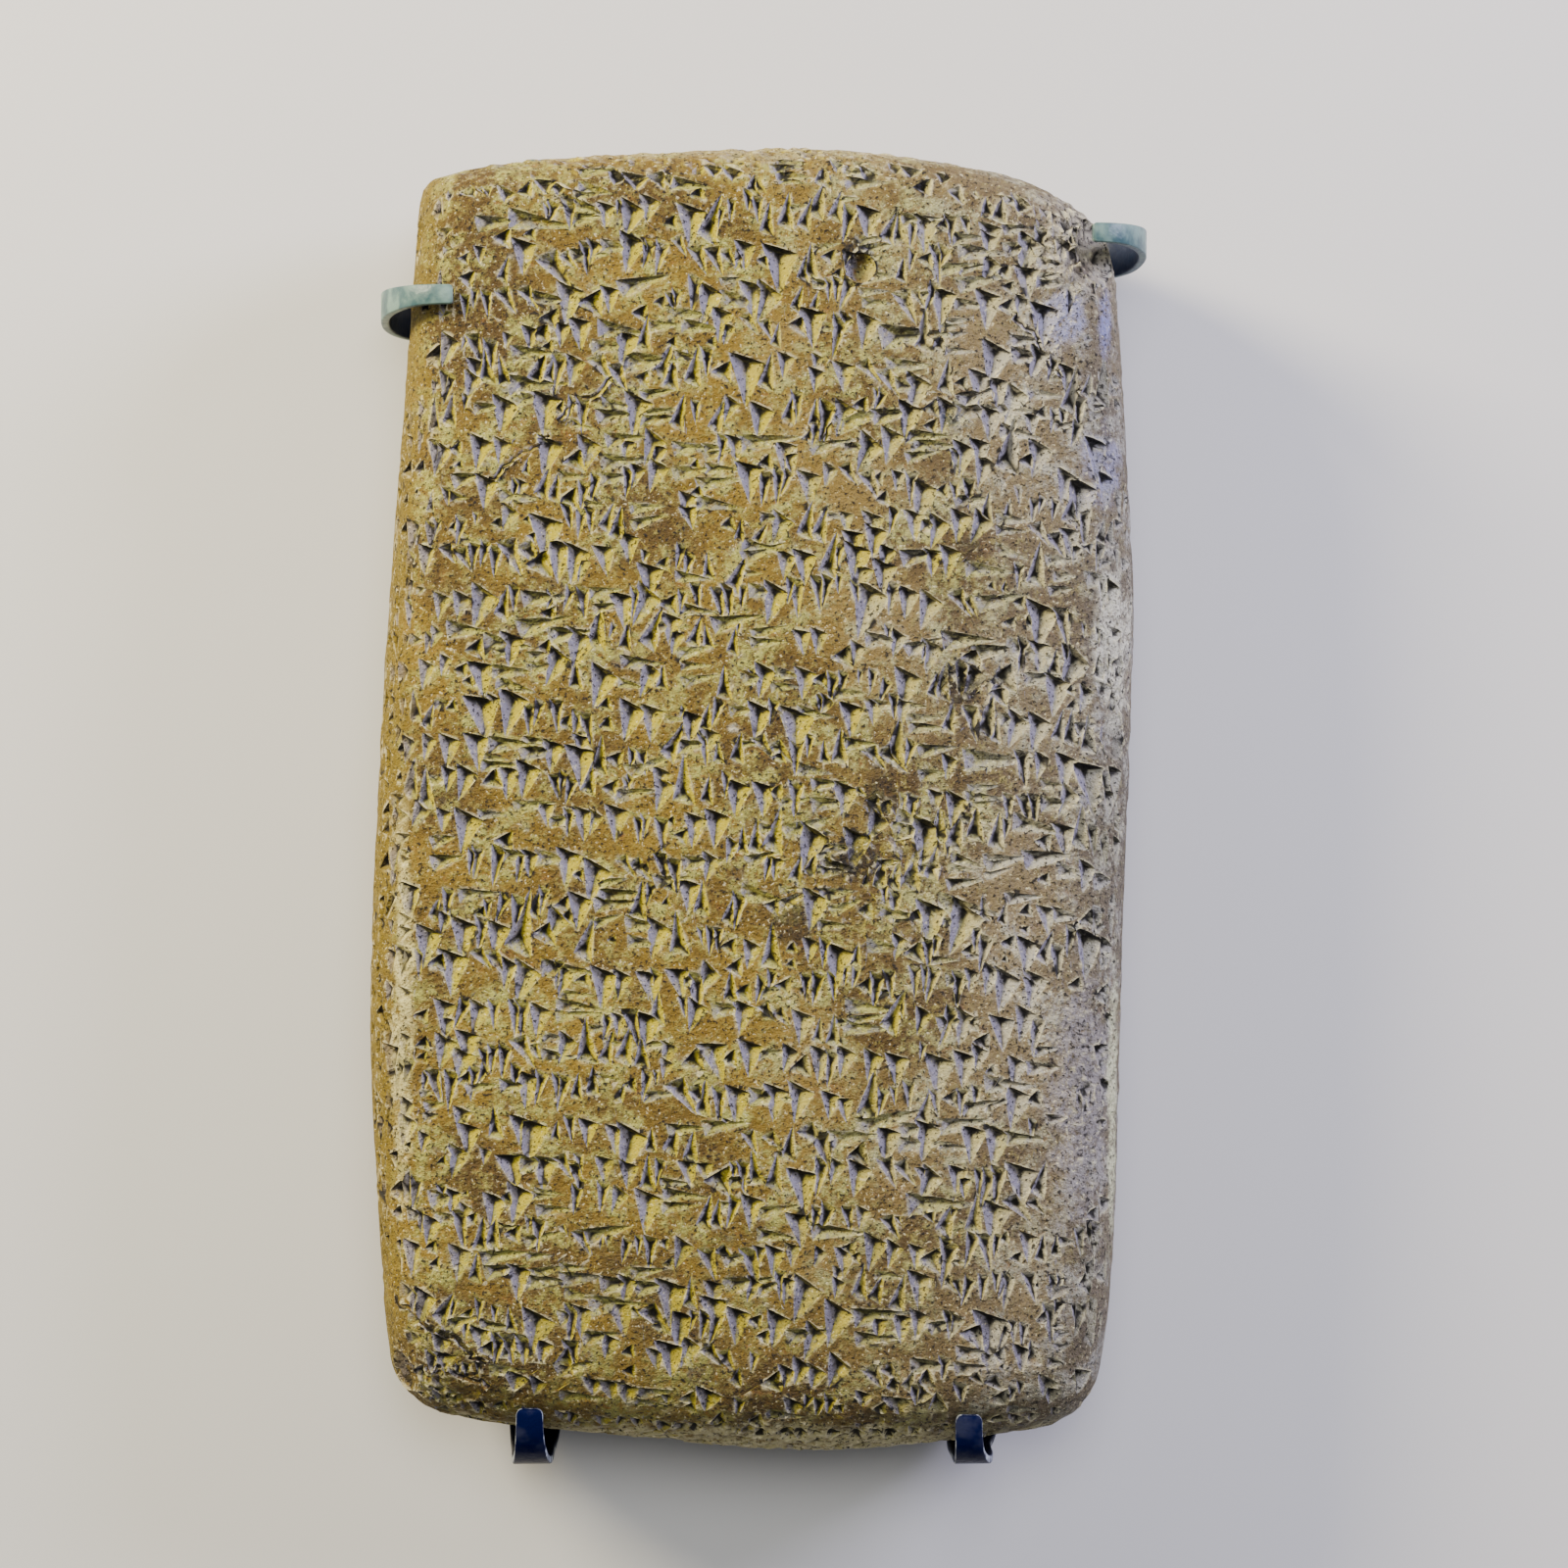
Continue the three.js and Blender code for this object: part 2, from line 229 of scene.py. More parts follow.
def plain_mesh(source: bpy.types.Object, name: str) -> bpy.types.Mesh:
    """Turn an object with its modifiers into a plain mesh.

    Args:
        source: the object whose modifiers are worked out.
        name: the new mesh's name.

    Returns:
        A mesh of its own, with nothing live on it.
    """
    graph = bpy.context.evaluated_depsgraph_get()
    mesh = bpy.data.meshes.new_from_object(source.evaluated_get(graph), depsgraph=graph)
    mesh.name = name
    return mesh


def discard(things: Iterable[bpy.types.Object]) -> None:
    """Take helper objects out of the scene."""
    for thing in things:
        bpy.data.objects.remove(thing, do_unlink=True)


@dataclass(frozen=True)
class Speckle:
    """Cloudy noise in a finish: how many clouds to a metre, how many finer layers and how strong they are."""

    scale: float
    layers: float
    strength: float = 0.55


class Graph:
    """Adds the nodes of one tree and joins them."""

    def __init__(self, tree: bpy.types.NodeTree) -> None:
        """Start with an empty tree."""
        self.tree = tree
        tree.nodes.clear()

    def add(self, kind: str, feeds: dict | None = None, **settings: object) -> bpy.types.Node:
        """Add a node.

        Args:
            kind: the node's type.
            feeds: what goes into its inputs, by name or number: a value or another node's output.
            settings: the node's own options.

        Returns:
            The new node.
        """
        node = self.tree.nodes.new(kind)
        for option, value in settings.items():
            setattr(node, option, value)
        for socket, value in (feeds or {}).items():
            if isinstance(value, bpy.types.NodeSocket):
                self.tree.links.new(value, node.inputs[socket])
            else:
                node.inputs[socket].default_value = value
        return node

    def math(self, operation: str, *values: object) -> bpy.types.NodeSocket:
        """Work out one number from others, which are values or other nodes' outputs."""
        return self.add("ShaderNodeMath", dict(enumerate(values)), operation=operation).outputs[0]

    def between(self, value: object, span: Range) -> bpy.types.NodeSocket:
        """Rise smoothly from 0 to 1 as a value goes from one end of a span to the other."""
        feeds = {"Value": value, "From Min": span[0], "From Max": span[1]}
        return self.add("ShaderNodeMapRange", feeds, interpolation_type="SMOOTHSTEP").outputs[0]

    def part(self, value: object, span: Range, most: object) -> bpy.types.NodeSocket:
        """Rise smoothly from 0 to a share or to another output, as a value goes through a span."""
        return self.math("MULTIPLY", self.between(value, span), most)

    def blend(self, share: object, one: object, other: object) -> bpy.types.NodeSocket:
        """Mix a share of a second colour into a first."""
        return self.add("ShaderNodeMix", {"Factor": share, 6: one, 7: other}, data_type="RGBA").outputs[2]


class Surface(Graph):
    """The graph of one finish, which ends in a single shader."""

    def __init__(self, name: str) -> None:
        """Start a new material with the place on the object, which every pattern is laid by.

        Args:
            name: the material's name.
        """
        self.material = bpy.data.materials.new(name)
        self.material.use_nodes = True
        super().__init__(self.material.node_tree)
        self.place = self.add("ShaderNodeTexCoord").outputs["Object"]

    def speckle(self, cloud: Speckle) -> bpy.types.NodeSocket:
        """Give cloudy noise between 0 and 1."""
        noises = {"Scale": cloud.scale, "Detail": cloud.layers, "Roughness": cloud.strength}
        return self.add("ShaderNodeTexNoise", {"Vector": self.place, **noises}).outputs["Fac"]

    def waver(self, cloud: object, amount: float, value: object) -> bpy.types.NodeSocket:
        """Make a value waver by an amount of cloudy noise."""
        return self.math("MULTIPLY_ADD", self.math("SUBTRACT", cloud, NOISE_MIDDLE), amount, value)

    def tint(self, share: object, base: object, colour: str) -> bpy.types.NodeSocket:
        """Lay a share of a colour over what is there."""
        return self.blend(share, base, linear(colour))

    def attribute(self, name: str) -> bpy.types.NodeSocket:
        """Read one of the mesh's own values."""
        return self.add("ShaderNodeAttribute", attribute_name=name).outputs["Fac"]

    def finish(self, feeds: dict, relief: object, strength: float, height: float) -> bpy.types.Material:
        """End the graph in its shader.

        Args:
            feeds: the shader's colour, roughness and gleam.
            relief: what the fine bumps follow.
            strength: how strong they are.
            height: how high they are, in metres.

        Returns:
            The finished material.
        """
        bump = self.add("ShaderNodeBump", {"Strength": strength, "Distance": height, "Height": relief})
        shader = self.add("ShaderNodeBsdfPrincipled", {**feeds, "Normal": bump.outputs[0]})
        self.add("ShaderNodeOutputMaterial", {"Surface": shader.outputs[0]})
        return self.material


class GeometryTree(Graph):
    """A Geometry Nodes tree with named inputs, which ends in Realize Instances and Set Material."""

    def __init__(self, name: str) -> None:
        """Start the tree with its geometry input and output.

        Args:
            name: the tree's name.
        """
        super().__init__(bpy.data.node_groups.new(name, "GeometryNodeTree"))
        self.sockets: dict[str, str] = {}
        self.tree.interface.new_socket("Geometry", in_out="INPUT", socket_type="NodeSocketGeometry")
        self.tree.interface.new_socket("Geometry", in_out="OUTPUT", socket_type="NodeSocketGeometry")
        self.entry = self.add("NodeGroupInput")

    def input(self, name: str, kind: str) -> bpy.types.NodeSocket:
        """Add a named input.

        Args:
            name: the input's name.
            kind: its socket type.

        Returns:
            The output of the group's entry that carries it.
        """
        socket = self.tree.interface.new_socket(name, in_out="INPUT", socket_type=kind)
        self.sockets[name] = socket.identifier
        return self.entry.outputs[name]

    def field(self, name: str, kind: str) -> bpy.types.NodeSocket:
        """Read one of the points' own values."""
        read = self.add("GeometryNodeInputNamedAttribute", {"Name": name}, data_type=kind)
        return read.outputs["Attribute"]

    def sweep(self, section: bpy.types.NodeSocket) -> None:
        """Run a section along the path that goes in, close the ends and end the tree.

        Args:
            section: the section's outline.
        """
        path = self.add("GeometryNodeMeshToCurve", {"Mesh": self.entry.outputs[0]}).outputs[0]
        feeds = {"Curve": path, "Profile Curve": section, "Fill Caps": True}
        self.finish(self.add("GeometryNodeCurveToMesh", feeds).outputs[0])

    def finish(self, geometry: bpy.types.NodeSocket) -> None:
        """Realize the instances, set the material and end the tree.

        Args:
            geometry: what the tree has made.
        """
        material = self.input("Material", "NodeSocketMaterial")
        real = self.add("GeometryNodeRealizeInstances", {"Geometry": geometry}).outputs[0]
        dressed = self.add("GeometryNodeSetMaterial", {"Geometry": real, "Material": material}).outputs[0]
        self.add("NodeGroupOutput", {"Geometry": dressed})

    def run(self, source: bpy.types.Object, name: str, values: dict[str, object]) -> bpy.types.Mesh:
        """Run the tree on an object.

        Args:
            source: the object whose geometry goes in.
            name: the name of the mesh that comes out.
            values: what the named inputs are set to.

        Returns:
            The result as a plain mesh, with the modifier gone.
        """
        modifier = source.modifiers.new(self.tree.name, "NODES")
        modifier.node_group = self.tree
        for label, value in values.items():
            modifier[self.sockets[label]] = value
        mesh = plain_mesh(source, name)
        source.modifiers.remove(modifier)
        return mesh


class Sheet(Enum):
    """The two sheets that the clay's surface is made of."""

    FACE = "face"
    BACK = "back"


class Side(Enum):
    """A side of the tablet."""

    LEFT = "left"
    RIGHT = "right"
    TOP = "top"
    BOTTOM = "bottom"


@dataclass(frozen=True)
class Shoulder:
    """How the surface turns over at one side: how far in it still rises, and how square its curve is."""

    reach: float
    power: float


@dataclass
class ClayForm:
    """The smooth body of the tablet, before anything is pressed into it.

    A side's stations say how far out it is, as a share of half the width or height, from one end of the side
    to the other. The corner radii are lower left, lower right, upper left and upper right. The face swells
    and dips a little in two waves, given by their radians: across, up and at the middle, and up less across.
    """

    width: float = 93.0
    height: float = 158.0
    thickness: float = 28.0
    widest_level: float = 13.0
    face_crown: float = 1.6
    back_crown: float = 3.0
    flat_spot_cut: float = 0.5
    unevenness: float = 0.3
    swell: tuple[float, float, float] = (4.1, 1.3, 0.6)
    dip: Range = (5.3, 1.7)
    rim_lines: int = 11
    rim_crowding: float = 2.0
    middle_spacing: float = 3.0
    left: Sequence[Range] = (
        (-1, -0.945), (-0.73, -0.977), (-0.38, -1), (0.03, -0.977), (0.33, -0.948), (1, -0.868))
    right: Sequence[Range] = (
        (-1, 0.9), (-0.73, 0.946), (-0.12, 0.974), (0.33, 1), (0.63, 0.98), (1, 0.945))
    bottom: Sequence[Range] = (
        (-1, -0.9), (-0.85, -0.939), (-0.47, -0.968), (0.2, -1), (0.84, -0.97), (1, -0.94))
    top: Sequence[Range] = (
        (-1, 0.947), (-0.7, 0.977), (-0.06, 0.998), (0.2, 1), (0.7, 0.957), (1, 0.88))
    corner_radii: Sequence[float] = (4.0, 5.0, 2.2, 5.0)
    normal_step: float = 0.4
    shoulders: dict[Sheet, dict[Side, Shoulder]] = field(default_factory=lambda: {
        Sheet.FACE: {
            Side.LEFT: Shoulder(9, 2.6), Side.RIGHT: Shoulder(11, 2.7),
            Side.TOP: Shoulder(8, 3), Side.BOTTOM: Shoulder(13, 2.4)},
        Sheet.BACK: {
            Side.LEFT: Shoulder(15, 2.3), Side.RIGHT: Shoulder(15, 2.3),
            Side.TOP: Shoulder(14, 2.4), Side.BOTTOM: Shoulder(15, 2.3)},
    })

    def __post_init__(self) -> None:
        """Make the four sides' curves."""
        self.sides = {side: smooth_through(getattr(self, side.value)) for side in Side}

    def width_at(self, up: np.ndarray) -> np.ndarray:
        """Give the width at a height, in millimetres."""
        return (self.sides[Side.RIGHT](up) - self.sides[Side.LEFT](up)) * self.width / 2

    def height_at(self, across: np.ndarray) -> np.ndarray:
        """Give the height at a place across, in millimetres."""
        return (self.sides[Side.TOP](across) - self.sides[Side.BOTTOM](across)) * self.height / 2

    def fullness(self, across: np.ndarray, up: np.ndarray, sheet: Sheet) -> np.ndarray:
        """Tell how far the surface has risen from the widest line, from 0 to 1.

        Args:
            across: places from the left side to the right.
            up: places from the bottom end to the top.
            sheet: the face or the back.

        Returns:
            One share for each place.
        """
        width, height = self.width_at(up), self.height_at(across)
        distances = {
            Side.LEFT: (1 + across) / 2 * width,
            Side.RIGHT: (1 - across) / 2 * width,
            Side.BOTTOM: (1 + up) / 2 * height,
            Side.TOP: (1 - up) / 2 * height,
        }
        full = np.ones_like(across)
        for side, shoulder in self.shoulders[sheet].items():
            outside = 1 - np.clip(distances[side] / shoulder.reach, 0, 1)
            full = full * (1 - outside ** shoulder.power) ** (1 / shoulder.power)
        return full

    def points(self, across: np.ndarray, up: np.ndarray, sheet: Sheet = Sheet.FACE) -> np.ndarray:
        """Find points of the surface.

        Args:
            across: places from the left side to the right.
            up: places from the bottom end to the top.
            sheet: the face or the back.

        Returns:
            One row of millimetres for each place.
        """
        across, up = np.broadcast_arrays(np.asarray(across, float), np.asarray(up, float))
        x = (self.sides[Side.LEFT](up) * (1 - across) + self.sides[Side.RIGHT](up) * (1 + across)) / 2
        y = (self.sides[Side.BOTTOM](across) * (1 - up) + self.sides[Side.TOP](across) * (1 + up)) / 2
        corner = np.where(up > 0, 2, 0) + np.where(across < 0, 0, 1)
        radius = np.array(self.corner_radii)[corner]
        pull = radius * (1 - math.sqrt(0.5)) * (
            np.abs(across) ** (self.width / radius) * np.abs(up) ** (self.height / radius))
        crown = (1 - across ** 2) * (1 - up ** 2)
        swell = np.sin(self.swell[0] * across + self.swell[1] * up + self.swell[2])
        wave = swell * np.cos(self.dip[0] * up - self.dip[1] * across)
        if sheet is Sheet.FACE:
            rise = self.thickness - self.widest_level - self.face_crown * (1 - crown) + self.unevenness * wave
        else:
            rise = -(self.widest_level + self.flat_spot_cut - self.back_crown * (1 - crown))
        return np.stack([
            x * self.width / 2 - np.sign(across) * pull,
            y * self.height / 2 - np.sign(up) * pull,
            self.widest_level + rise * self.fullness(across, up, sheet),
        ], axis=-1)

    def normals(self, across: np.ndarray, up: np.ndarray, sheet: Sheet = Sheet.FACE) -> np.ndarray:
        """Find the way out of the clay at each place.

        Args:
            across: places from the left side to the right.
            up: places from the bottom end to the top.
            sheet: the face or the back.

        Returns:
            One direction of length 1 for each place.
        """
        step_across, step_up = 2 * self.normal_step / self.width, 2 * self.normal_step / self.height
        along_x = self.points(across + step_across, up, sheet) - self.points(across - step_across, up, sheet)
        along_y = self.points(across, up + step_up, sheet) - self.points(across, up - step_up, sheet)
        outward = np.cross(along_x, along_y) * (1 if sheet is Sheet.FACE else -1)
        return outward / np.linalg.norm(outward, axis=-1, keepdims=True)

    def lines(self, span: float) -> np.ndarray:
        """Give places from -1 to 1 that crowd towards both ends.

        Args:
            span: the width or the height in millimetres.

        Returns:
            The places in rising order.
        """
        band = max(s.reach for sheet in self.shoulders.values() for s in sheet.values())
        rim = band * (np.arange(self.rim_lines + 1) / self.rim_lines) ** self.rim_crowding
        middle = round((span - 2 * band) / self.middle_spacing)
        inner = np.linspace(band, span - band, middle + 1)[1:-1]
        return 2 * np.concatenate([rim, inner, span - rim[::-1]]) / span - 1

    def body(self) -> bpy.types.Mesh:
        """Make the smooth body as one closed mesh of a face sheet and a back sheet.

        Returns:
            The mesh.
        """
        columns, rows = self.lines(self.width), self.lines(self.height)
        across, up = np.meshgrid(columns, rows)
        front, back = (self.points(across, up, sheet).reshape(-1, 3) for sheet in Sheet)
        back[:, 2] = np.maximum(back[:, 2], 0)
        numbers = np.arange(across.size).reshape(across.shape)
        behind = numbers + across.size
        for rim in (np.s_[0, :], np.s_[-1, :], np.s_[:, 0], np.s_[:, -1]):
            behind[rim] = numbers[rim]
        loops = np.concatenate([self.halves(numbers), self.halves(behind)[:, ::-1]])
        used, loops = np.unique(loops, return_inverse=True)
        return mesh_from("clay_body", np.concatenate([front, back])[used], loops.reshape(-1, 3).tolist())

    def halves(self, numbers: np.ndarray) -> np.ndarray:
        """Split the cells of a sheet into triangles whose long sides point towards the corners.

        Args:
            numbers: the sheet's point numbers, row by row.

        Returns:
            Three point numbers for each triangle, seen from the face.
        """
        a, b = numbers[:-1, :-1], numbers[:-1, 1:]
        d, c = numbers[1:, :-1], numbers[1:, 1:]
        low = np.arange(a.shape[0])[:, None] < a.shape[0] / 2
        left = np.arange(a.shape[1])[None] < a.shape[1] / 2
        towards = (low == left)[..., None]
        first = np.where(towards, np.stack([a, b, c], -1), np.stack([a, b, d], -1))
        second = np.where(towards, np.stack([a, c, d], -1), np.stack([b, c, d], -1))
        return np.concatenate([first.reshape(-1, 3), second.reshape(-1, 3)])


class Wedge(Enum):
    """The shapes that a pressed wedge has, as shares of its head's width and of its length.

    They are how far right of its middle and how far along the dent is, how far the head slopes down to
    the right, and how far left the tail ends.
    """

    STEEP = (-0.03, 0.24, 0.3, 0.24)
    LONG = (0.05, 0.2, -0.05, 0.05)
    NARROW = (0.04, 0.3, 0.12, 0.08)

    def __init__(self, dent_across: float, dent_along: float, head_slope: float, tail_shift: float) -> None:
        """Work out the dent's place and the three corners."""
        self.dent = np.array([dent_across, -dent_along, -1.0])
        self.corners = np.array([[-0.5, 0, 0], [0.5, -head_slope, 0], [-tail_shift, -1, 0]])

    def mesh(self, lift: float) -> bpy.types.Mesh:
        """Make the cutter, one millimetre wide, long and deep.

        Args:
            lift: how far it goes on above the clay, as a share of its depth.

        Returns:
            A pyramid on its point.
        """
        lifted = self.dent + (self.corners - self.dent) * (1 + lift)
        faces = [(0, 2, 1), (0, 1, 3), (1, 2, 3), (2, 0, 3)]
        return mesh_from("wedge", np.vstack([lifted, self.dent]), faces)


class Stroke(Enum):
    """The ways in which the stylus is pressed: its wedge, head width, length, depth and turn in degrees."""

    UPRIGHT = (Wedge.STEEP, 2.9, 4.7, 0.9, 2.0)
    SLIM = (Wedge.NARROW, 1.5, 4.1, 0.7, -3.0)
    LEVEL = (Wedge.LONG, 2.0, 6.0, 0.6, 93.0)
    HOOK = (Wedge.STEEP, 2.5, 2.5, 0.8, 50.0)
    SLANTED = (Wedge.NARROW, 1.8, 3.9, 0.7, 36.0)
    LEANING = (Wedge.NARROW, 2.0, 4.8, 0.85, 173.0)

    def __init__(self, wedge: Wedge, head: float, length: float, depth: float, turn: float) -> None:
        """Name the values.

        Args:
            wedge: the shape that is pressed.
            head: the head's width.
            length: the length.
            depth: the depth.
            turn: the turn from upright, in degrees.
        """
        self.wedge = wedge
        self.head = head
        self.length = length
        self.depth = depth
        self.turn = turn


@dataclass(frozen=True)
class Press:
    """One stroke of a sign: how far right of the sign's left end and above the row's middle its head is."""

    stroke: Stroke
    right: float
    above: float
    size: float = 1.0


@dataclass(frozen=True)
class Sign:
    """A group of strokes that takes up some width of a row."""

    width: float
    presses: tuple[Press, ...]


UPRIGHT, SLIM, LEVEL, HOOK, SLANTED, LEANING = Stroke
# The groups of strokes that a row is made of. They aren't letters.
SIGNS = (
    Sign(3.9, (Press(UPRIGHT, 1.9, 2.0),)),
    Sign(5.6, (Press(UPRIGHT, 1.6, 1.9, 0.85), Press(UPRIGHT, 4.0, 2.0, 0.95))),
    Sign(4.9, (Press(SLIM, 0.9, 1.7, 0.85), Press(SLIM, 2.3, 1.9, 0.9), Press(SLIM, 3.8, 1.9))),
    Sign(5.2, (Press(LEVEL, 0.4, 0.4), Press(UPRIGHT, 3.9, 2.0))),
    Sign(5.8, (Press(LEVEL, 0.4, 1.4, 0.85), Press(LEVEL, 0.4, -0.7, 0.85), Press(UPRIGHT, 4.3, 1.9))),
    Sign(4.9, (Press(LEVEL, 0.3, 1.7, 0.75), Press(LEVEL, 0.5, 0.3, 0.75), Press(LEVEL, 0.3, -1.1, 0.8))),
    Sign(4.9, (Press(HOOK, 0.7, 0.3), Press(UPRIGHT, 3.3, 2.0))),
    Sign(5.2, (Press(HOOK, 0.7, 1.2, 0.7), Press(HOOK, 1.1, -0.9, 0.7), Press(UPRIGHT, 3.7, 2.0, 0.95))),
    Sign(4.4, (Press(SLANTED, 1.1, 1.7), Press(SLANTED, 3.0, 1.2, 0.9))),
    Sign(3.9, (Press(UPRIGHT, 1.9, 2.1, 0.9), Press(UPRIGHT, 2.0, 0.5, 0.75))),
    Sign(4.2, (Press(LEANING, 1.2, -2.0), Press(SLIM, 2.9, 1.9, 0.9))),
    Sign(5.0, (Press(LEVEL, 0.3, 0.2, 0.9), Press(SLIM, 2.4, 2.0), Press(UPRIGHT, 3.7, 1.9, 0.8))),
    Sign(6.0, (
        Press(HOOK, 0.6, 0.4, 0.8), Press(SLIM, 2.6, 1.8, 0.9), Press(SLIM, 3.9, 1.8, 0.9),
        Press(LEVEL, 2.2, -1.3, 0.8))),
    Sign(4.6, (Press(LEVEL, 0.4, 0.9, 0.9), Press(HOOK, 3.2, -0.6, 0.8))),
    Sign(2.9, (Press(LEANING, 1.4, -2.3, 0.9),)),
    Sign(4.9, (
        Press(LEANING, 1.2, -2.0, 0.85), Press(LEANING, 2.9, -2.1, 0.85), Press(LEVEL, 3.2, 0.9, 0.7))),
    Sign(4.4, (Press(SLIM, 0.9, 2.0), Press(UPRIGHT, 2.9, 1.9))),
)
# The small strokes along the left wall and the bottom edge, one at a time.
EDGE_SIGN = (Press(UPRIGHT, 0, 1.0, 0.75), Press(HOOK, 0, 0.6, 0.8), Press(SLIM, 0, 1.0, 0.95))


@dataclass
class PressList:
    """Strokes ready to be pressed: where, along which axes and how large.

    A stroke's middle lies at a share of its length, and strokes of a batch keep a gap. Where the clay faces
    sideways, with less than a share of its width seen from above, upright is taken from the other axis.
    """

    middle_share: float = 0.45
    gap: float = 0.25
    sideways: float = 0.3
    wedges: list[Wedge] = field(default_factory=list)
    places: list[Vector] = field(default_factory=list)
    turns: list[Euler] = field(default_factory=list)
    sizes: list[Vector] = field(default_factory=list)

    def add(self, wedge: Wedge, place: Vector, outward: Vector, turn: float, size: Vector) -> None:
        """Add a stroke.

        Args:
            wedge: its shape.
            place: the middle of its head, on the surface.
            outward: the way out of the clay there.
            turn: how far the stroke is turned about that way, in degrees.
            size: head width, length and depth.
        """
        right = Vector((1, 0, 0)) - outward * outward.x
        right = right.normalized() if right.length > self.sideways else Vector((0, 1, 0))
        upward = outward.cross(right).normalized()
        axes = Matrix((right, upward, outward)).transposed() @ Matrix.Rotation(math.radians(turn), 3, "Z")
        self.wedges.append(wedge)
        self.places.append(place)
        self.turns.append(axes.to_euler())
        self.sizes.append(size)

    def batches(self) -> list[list[int]]:
        """Share the strokes out so that no two in a batch touch.

        Returns:
            The numbers of each batch's strokes.
        """
        centres, radii, batch_of = [], [], []
        for place, turn, size in zip(self.places, self.turns, self.sizes):
            down = turn.to_matrix() @ Vector((0, -self.middle_share * size.y, 0))
            centres.append(np.array(place + down))
            radii.append(max(size.y, size.x) / 2 + self.gap)
        middle, radius = np.array(centres), np.array(radii)
        for i in range(len(middle)):
            near = np.linalg.norm(middle[:i] - middle[i], axis=1) < radius[:i] + radius[i]
            taken = {batch_of[j] for j in np.flatnonzero(near)}
            batch_of.append(next(k for k in range(len(taken) + 1) if k not in taken))
        return [[i for i, b in enumerate(batch_of) if b == k] for k in range(max(batch_of) + 1)]


@dataclass(frozen=True)
class BareArea:
    """A part of the face where strokes are rubbed away, with its half sizes and the share that is gone."""

    across: float
    up: float
    half_across: float
    half_up: float
    share: float

    def cover_at(self, across: float, up: float) -> float:
        """Tell how likely a stroke is to be gone at a place."""
        away = [(across - self.across) / self.half_across, (up - self.up) / self.half_up]
        return self.share * math.exp(-(away[0] ** SQUARENESS + away[1] ** SQUARENESS))


